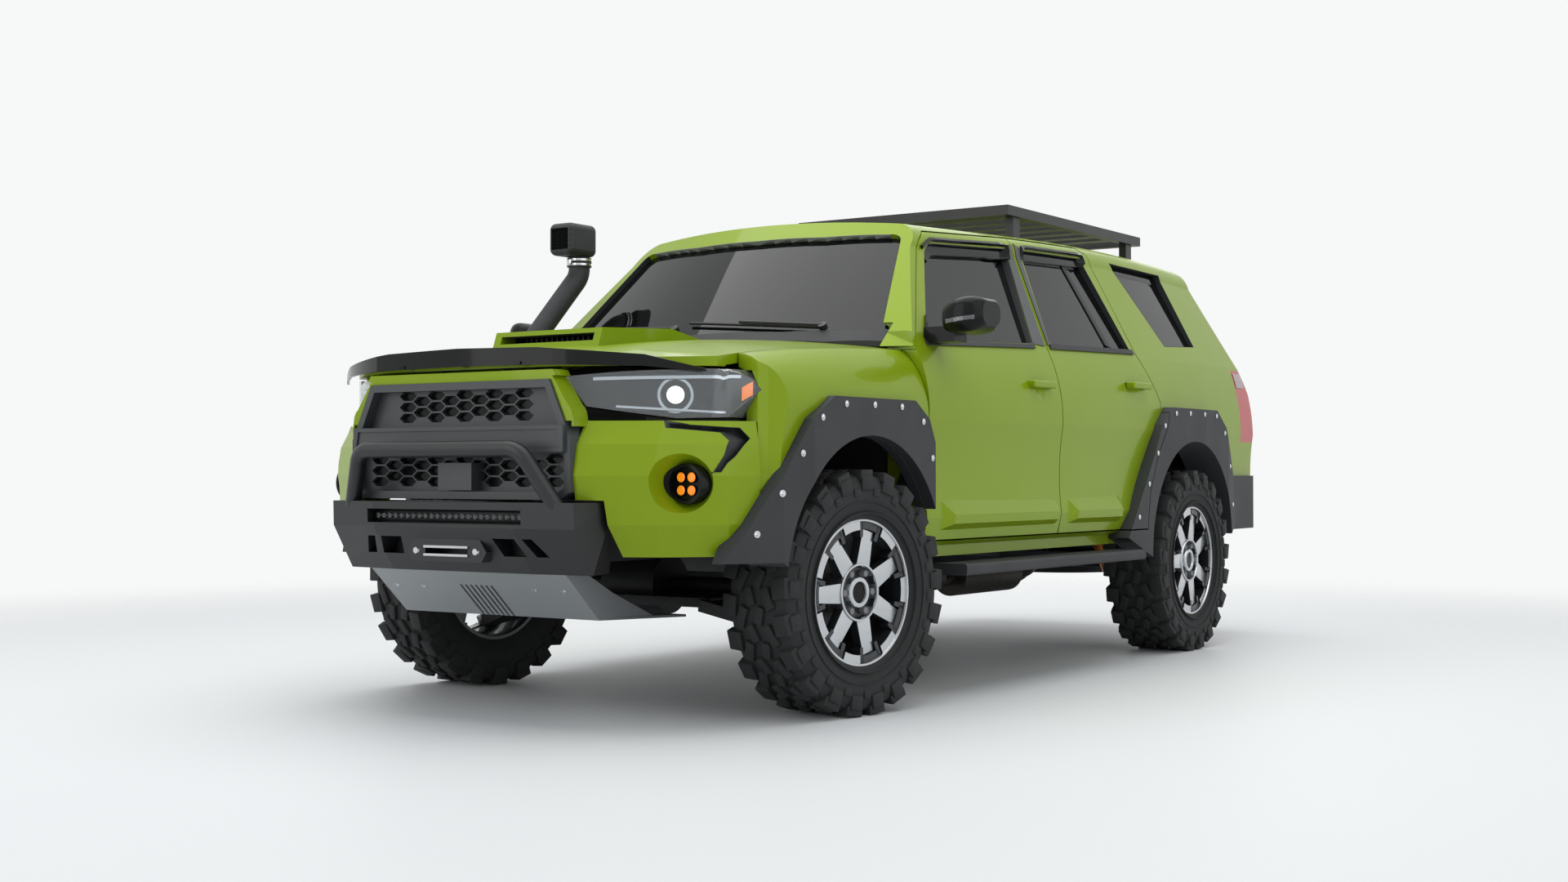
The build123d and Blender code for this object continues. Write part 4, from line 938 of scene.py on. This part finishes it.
# side view (x, z) of the front left seat's pads: foot front, foot back, head back, head front
CUSHION = ((0.455, 0.665), (-0.020, 0.635), (-0.020, 0.805), (0.445, 0.858))
BACKREST = ((0.098, 0.812), (-0.066, 0.772), (-0.272, 1.402), (-0.184, 1.428))
HEADREST = ((-0.198, 1.424), (-0.262, 1.404), (-0.312, 1.602), (-0.236, 1.612))
# name, middle y, half width, shift in x and z, node
SEATS = (("front_seat_left", 0.395, 0.245, 0.0, 0.0, "front_seats"),
         ("front_seat_right", -0.395, 0.245, 0.0, 0.0, "front_seats"),
         ("rear_seat_left", 0.320, 0.315, -0.776, 0.060, "rear_seat"),
         ("rear_seat_right", -0.320, 0.315, -0.776, 0.060, "rear_seat"))


def crowned(a, b, c, soft):
    """A cube's point drawn in towards its edges and corners, so that each side is crowned."""
    def drawn(one, two, three):
        return one * math.sqrt(1 - soft * (two ** 2 + three ** 2) / 2
                               + soft ** 2 * two ** 2 * three ** 2 / 3)
    return drawn(a, b, c), drawn(b, c, a), drawn(c, a, b)


def pad_point(corners, low, high, soft, a, b, c):
    """The place of a cube's point in a pad laid between four side-view corners and from y low to y high."""
    a, b, c = crowned(a, b, c, soft)
    foot_front, foot_back, head_back, head_front = (Vector(corner) for corner in corners)
    foot, head = foot_front.lerp(foot_back, (1 - a) / 2), head_front.lerp(head_back, (1 - a) / 2)
    x, z = foot.lerp(head, (b + 1) / 2)
    return Vector((x, (low + high) / 2 + (high - low) / 2 * c, z))


def pad(bm, corners, low, high, soft, index=0):
    """A crowned, closed cushion."""
    before = set(bm.verts)
    made = bmesh.ops.create_cube(bm, size=2)
    bmesh.ops.subdivide_edges(bm, edges=list(edges_of(made["verts"])), cuts=9, use_grid_fill=True)
    for vert in set(bm.verts) - before:
        vert.co = pad_point(corners, low, high, soft, *vert.co)
        for face in vert.link_faces:
            face.material_index = index


def seam(bm, corners, low, high, soft, line, index=0):
    """A sewn piping along a line of cube points on a pad."""
    tube(bm, [pad_point(corners, low, high, soft, *point) for point in line], 0.0028, 6, index)


# half width of a seat's middle as a share of the seat's, and where the pipings run across it
MIDDLE_SHARE, PIPINGS = 0.64, (-0.45, 0.0, 0.45)
HEADREST_HALF = 0.125


class VEHICLE_OT_seats(bpy.types.Operator):
    """Padded seats: crowned middles, side bolsters, sewn pipings and headrests on steel posts"""
    bl_idname = "vehicle.seats"
    bl_label = "Seats"

    def execute(self, context):
        soft = context.scene.vehicle.seat_soft
        steps = [-0.85 + 1.7 * step / 14 for step in range(15)]
        for name, middle, half, dx, dz, node in SEATS:
            bm = bmesh.new()
            shifted = [[(x + dx, z + dz) for x, z in form] for form in (CUSHION, BACKREST, HEADREST)]
            for form, face in ((shifted[0], "top"), (shifted[1], "front")):
                inner = half * MIDDLE_SHARE
                pad(bm, form, middle - inner, middle + inner, soft * 0.6)
                for hand in (1, -1):
                    low, high = sorted((middle + hand * inner * 0.97, middle + hand * half))
                    pad(bm, form, low, high, soft)
                for share in PIPINGS:
                    line = [(step, 1, share) if face == "top" else (1, step, share) for step in steps]
                    seam(bm, form, middle - inner, middle + inner, soft * 0.6, line, 3)
            pad(bm, shifted[2], middle - HEADREST_HALF, middle + HEADREST_HALF, soft)
            block(bm, (dx + 0.00, middle - half * 0.8, 0.600), (dx + 0.34, middle + half * 0.8, 0.665 + dz),
                  0.01, index=1)
            for y in (-0.06, 0.06):
                tube(bm, [(dx - 0.205, middle + y, 1.380 + dz), (dx - 0.232, middle + y, 1.440 + dz)],
                     0.007, 8, index=2)
            bmesh.ops.recalc_face_normals(bm, faces=bm.faces)
            finishes = ["seat_cloth", "dash_plastic", "bright_metal", "tyre_rubber"]
            made = piece(name, bm, "body", finishes, [node], smooth=60)
        return {"FINISHED"}


class VEHICLE_OT_cabin(bpy.types.Operator):
    """What shows through the glass: instruments, a screen, a console, gear lever and inside mirror"""
    bl_idname = "vehicle.cabin"
    bl_label = "Cabin"

    def execute(self, context):
        bm = bmesh.new()
        block(bm, (0.690, 0.220, 1.150), (0.800, 0.540, 1.235), 0.02)
        block(bm, (0.684, 0.240, 1.165), (0.690, 0.520, 1.222), 0.004, index=1)
        block(bm, (0.672, -0.140, 1.040), (0.712, 0.140, 1.195), 0.010)
        block(bm, (0.669, -0.125, 1.090), (0.673, 0.125, 1.185), 0.002, index=1)
        for y in (-0.60, -0.30, 0.62):
            block(bm, (0.690, y - 0.06, 1.120), (0.700, y + 0.06, 1.160), 0.004, index=1)
        block(bm, (-0.250, -0.120, 0.600), (0.760, 0.120, 0.800), 0.03)
        tube(bm, [(0.420, 0.0, 0.795), (0.395, 0.0, 0.905)], 0.012, 12)
        disc(bm, (0.392, 0, 0.925), (0, 0, 1), 0.026, 0.05, 20, tip=0.018)
        piece("cabin_details", bm, "body", ["dash_plastic", "black_moulding_and_painted_shade"])
        bm = bmesh.new()
        block(bm, (0.660, -0.125, 1.560), (0.690, 0.125, 1.625), 0.012, index=0)
        block(bm, (0.657, -0.115, 1.567), (0.661, 0.115, 1.618), 0.001, index=1)
        tube(bm, [(0.685, 0, 1.600), (0.720, 0, 1.640)], 0.010, 10)
        piece("inside_mirror", bm, "body", ["black_moulding_and_painted_shade", "chrome"])
        return {"FINISHED"}


class VEHICLE_OT_tail(bpy.types.Operator):
    """Clear upper bands on the tail lamps and the high brake lamp"""
    bl_idname = "vehicle.tail"
    bl_label = "Tail"

    def execute(self, context):
        find = skin(["tail_lamps"])
        for side, hand in HANDS.items():
            def band(u, v):
                x = -2.165 - 0.115 * u
                place, normal = find((x, 2 * hand, 1.215 + 0.070 * v), (0, -hand, 0))
                return place + normal * 0.003
            bm = bmesh.new()
            patch(bm, 10, 6, band, 0.0025)
            piece(f"tail_lamp_band_{side}", bm, "body", ["lamp_lens"])
        bm = bmesh.new()
        block(bm, (-2.1495, -0.110, 1.7535), (-2.1420, 0.110, 1.7655), 0.002)
        piece("high_brake_lamp", bm, "tailgate_lid", ["red_lens"])
        return {"FINISHED"}


# where the floor starts to thin out and where it is gone, in metres from the middle
FLOOR_FADE = (3.4, 7.5)


def floor_paint(colour):
    """Pale floor paint that keeps shadows near the vehicle and thins out into the background far off."""
    made, tree = new_material("floor_paint")
    place = add(tree, "ShaderNodeTexCoord")
    far = add(tree, "ShaderNodeVectorMath", {0: (place, "Object")}, {"operation": "LENGTH"})
    share = add(tree, "ShaderNodeMapRange", {"Value": (far, "Value")}, {"interpolation_type": "SMOOTHSTEP"},
                From_Min=FLOOR_FADE[0], From_Max=FLOOR_FADE[1])
    paint = add(tree, "ShaderNodeBsdfPrincipled", Base_Color=linear(colour), Roughness=0.55)
    clear = add(tree, "ShaderNodeBsdfTransparent")
    either = add(tree, "ShaderNodeMixShader",
                 {0: (share, "Result"), 1: (paint, "BSDF"), 2: (clear, "BSDF")})
    add(tree, "ShaderNodeOutputMaterial", {"Surface": (either, "Shader")})
    return made


# name, place, aim, size in metres and power in watts of each area lamp
LAMPS = (("lamp_overhead", (0.5, 0.0, 6.5), (0, 0, 0), 8.0, 330),
         ("lamp_left", (2.5, 8.5, 4.6), (0.2, 0, 0.6), 8.0, 130),
         ("lamp_front", (9.0, -2.5, 3.6), (1.5, 0, 0.7), 6.0, 150),
         ("lamp_back", (-8.0, -3.5, 4.5), (-1.5, 0, 1.0), 6.0, 90))
# the camera that the photograph was fitted with
CAMERA_PLACE, SENSOR_MM = (6.750, 4.230, 0.797), 36.0
CAMERA_YAW, CAMERA_PITCH = math.radians(34.19), math.radians(-0.978)


class VEHICLE_OT_stage(bpy.types.Operator):
    """Floor, soft lamps, world and the camera at the photograph's angle"""
    bl_idname = "vehicle.stage"
    bl_label = "Studio"

    def execute(self, context):
        props = context.scene.vehicle
        bm = bmesh.new()
        bmesh.ops.create_grid(bm, x_segments=2, y_segments=2, size=60)
        mesh = bpy.data.meshes.new("studio_floor")
        bm.to_mesh(mesh)
        bm.free()
        floor = bpy.data.objects.new("studio_floor", mesh)
        context.scene.collection.objects.link(floor)
        mesh.materials.append(floor_paint(props.floor_colour))
        for name, place, aim, size, power in LAMPS:
            data = bpy.data.lights.new(name, "AREA")
            data.size, data.energy = size, power
            lamp = bpy.data.objects.new(name, data)
            lamp.location = place
            lamp.rotation_mode = "QUATERNION"
            lamp.rotation_quaternion = (Vector(aim) - Vector(place)).to_track_quat("-Z", "Y")
            context.scene.collection.objects.link(lamp)
        world = bpy.data.worlds.new("studio_world")
        world.use_nodes = True
        tree = world.node_tree
        tree.nodes.clear()
        path = add(tree, "ShaderNodeLightPath")
        seen = add(tree, "ShaderNodeMath", {0: (path, "Is Camera Ray"), 1: (path, "Is Transmission Ray")},
                   {"operation": "MAXIMUM"})
        shown = add(tree, "ShaderNodeMath", {0: (seen, 0), 1: (path, "Is Glossy Ray")},
                    {"operation": "MAXIMUM"})
        soft = add(tree, "ShaderNodeBackground", Color=linear("#dfe3e6"), Strength=0.55)
        white = add(tree, "ShaderNodeBackground", Color=linear("#f7f8f8"), Strength=1.0)
        either = add(tree, "ShaderNodeMixShader", {0: (shown, 0), 1: (soft, 0), 2: (white, 0)})
        add(tree, "ShaderNodeOutputWorld", {"Surface": (either, 0)})
        context.scene.world = world
        data = bpy.data.cameras.new("photo_camera")
        data.sensor_width, data.lens = SENSOR_MM, props.lens_mm
        camera = bpy.data.objects.new("photo_camera", data)
        camera.location = CAMERA_PLACE
        camera.rotation_mode = "QUATERNION"
        level = math.cos(CAMERA_PITCH)
        ahead = Vector((-math.cos(CAMERA_YAW) * level, -math.sin(CAMERA_YAW) * level,
                        -math.sin(CAMERA_PITCH)))
        camera.rotation_quaternion = ahead.to_track_quat("-Z", "Y")
        context.scene.collection.objects.link(camera)
        context.scene.camera = camera
        context.scene.view_settings.view_transform = "Standard"
        return {"FINISHED"}


class VEHICLE_PT_panel(bpy.types.Panel):
    """Lists the vehicle's operators"""
    bl_idname = "VEHICLE_PT_panel"
    bl_label = "Vehicle"
    bl_space_type = "VIEW_3D"
    bl_region_type = "UI"
    bl_category = "Vehicle"

    def draw(self, context):
        for each in OPERATORS:
            self.layout.operator(each.bl_idname)


OPERATORS = [VEHICLE_OT_finishes, VEHICLE_OT_tyres, VEHICLE_OT_wheels, VEHICLE_OT_flare_bolts,
             VEHICLE_OT_grille, VEHICLE_OT_headlamps, VEHICLE_OT_linings, VEHICLE_OT_window_trim,
             VEHICLE_OT_front_lamps, VEHICLE_OT_wipers, VEHICLE_OT_mirrors, VEHICLE_OT_snorkel,
             VEHICLE_OT_seats, VEHICLE_OT_cabin, VEHICLE_OT_tail, VEHICLE_OT_stage]
CLASSES = [VehicleProps, *OPERATORS, VEHICLE_PT_panel]


def register():
    for each in CLASSES:
        bpy.utils.register_class(each)
    bpy.types.Scene.vehicle = bpy.props.PointerProperty(type=VehicleProps)


def unregister():
    del bpy.types.Scene.vehicle
    for each in reversed(CLASSES):
        bpy.utils.unregister_class(each)


def main():
    register()
    for each in OPERATORS:
        group, name = each.bl_idname.split(".")
        getattr(getattr(bpy.ops, group), name)()


if __name__ == "__main__":
    main()
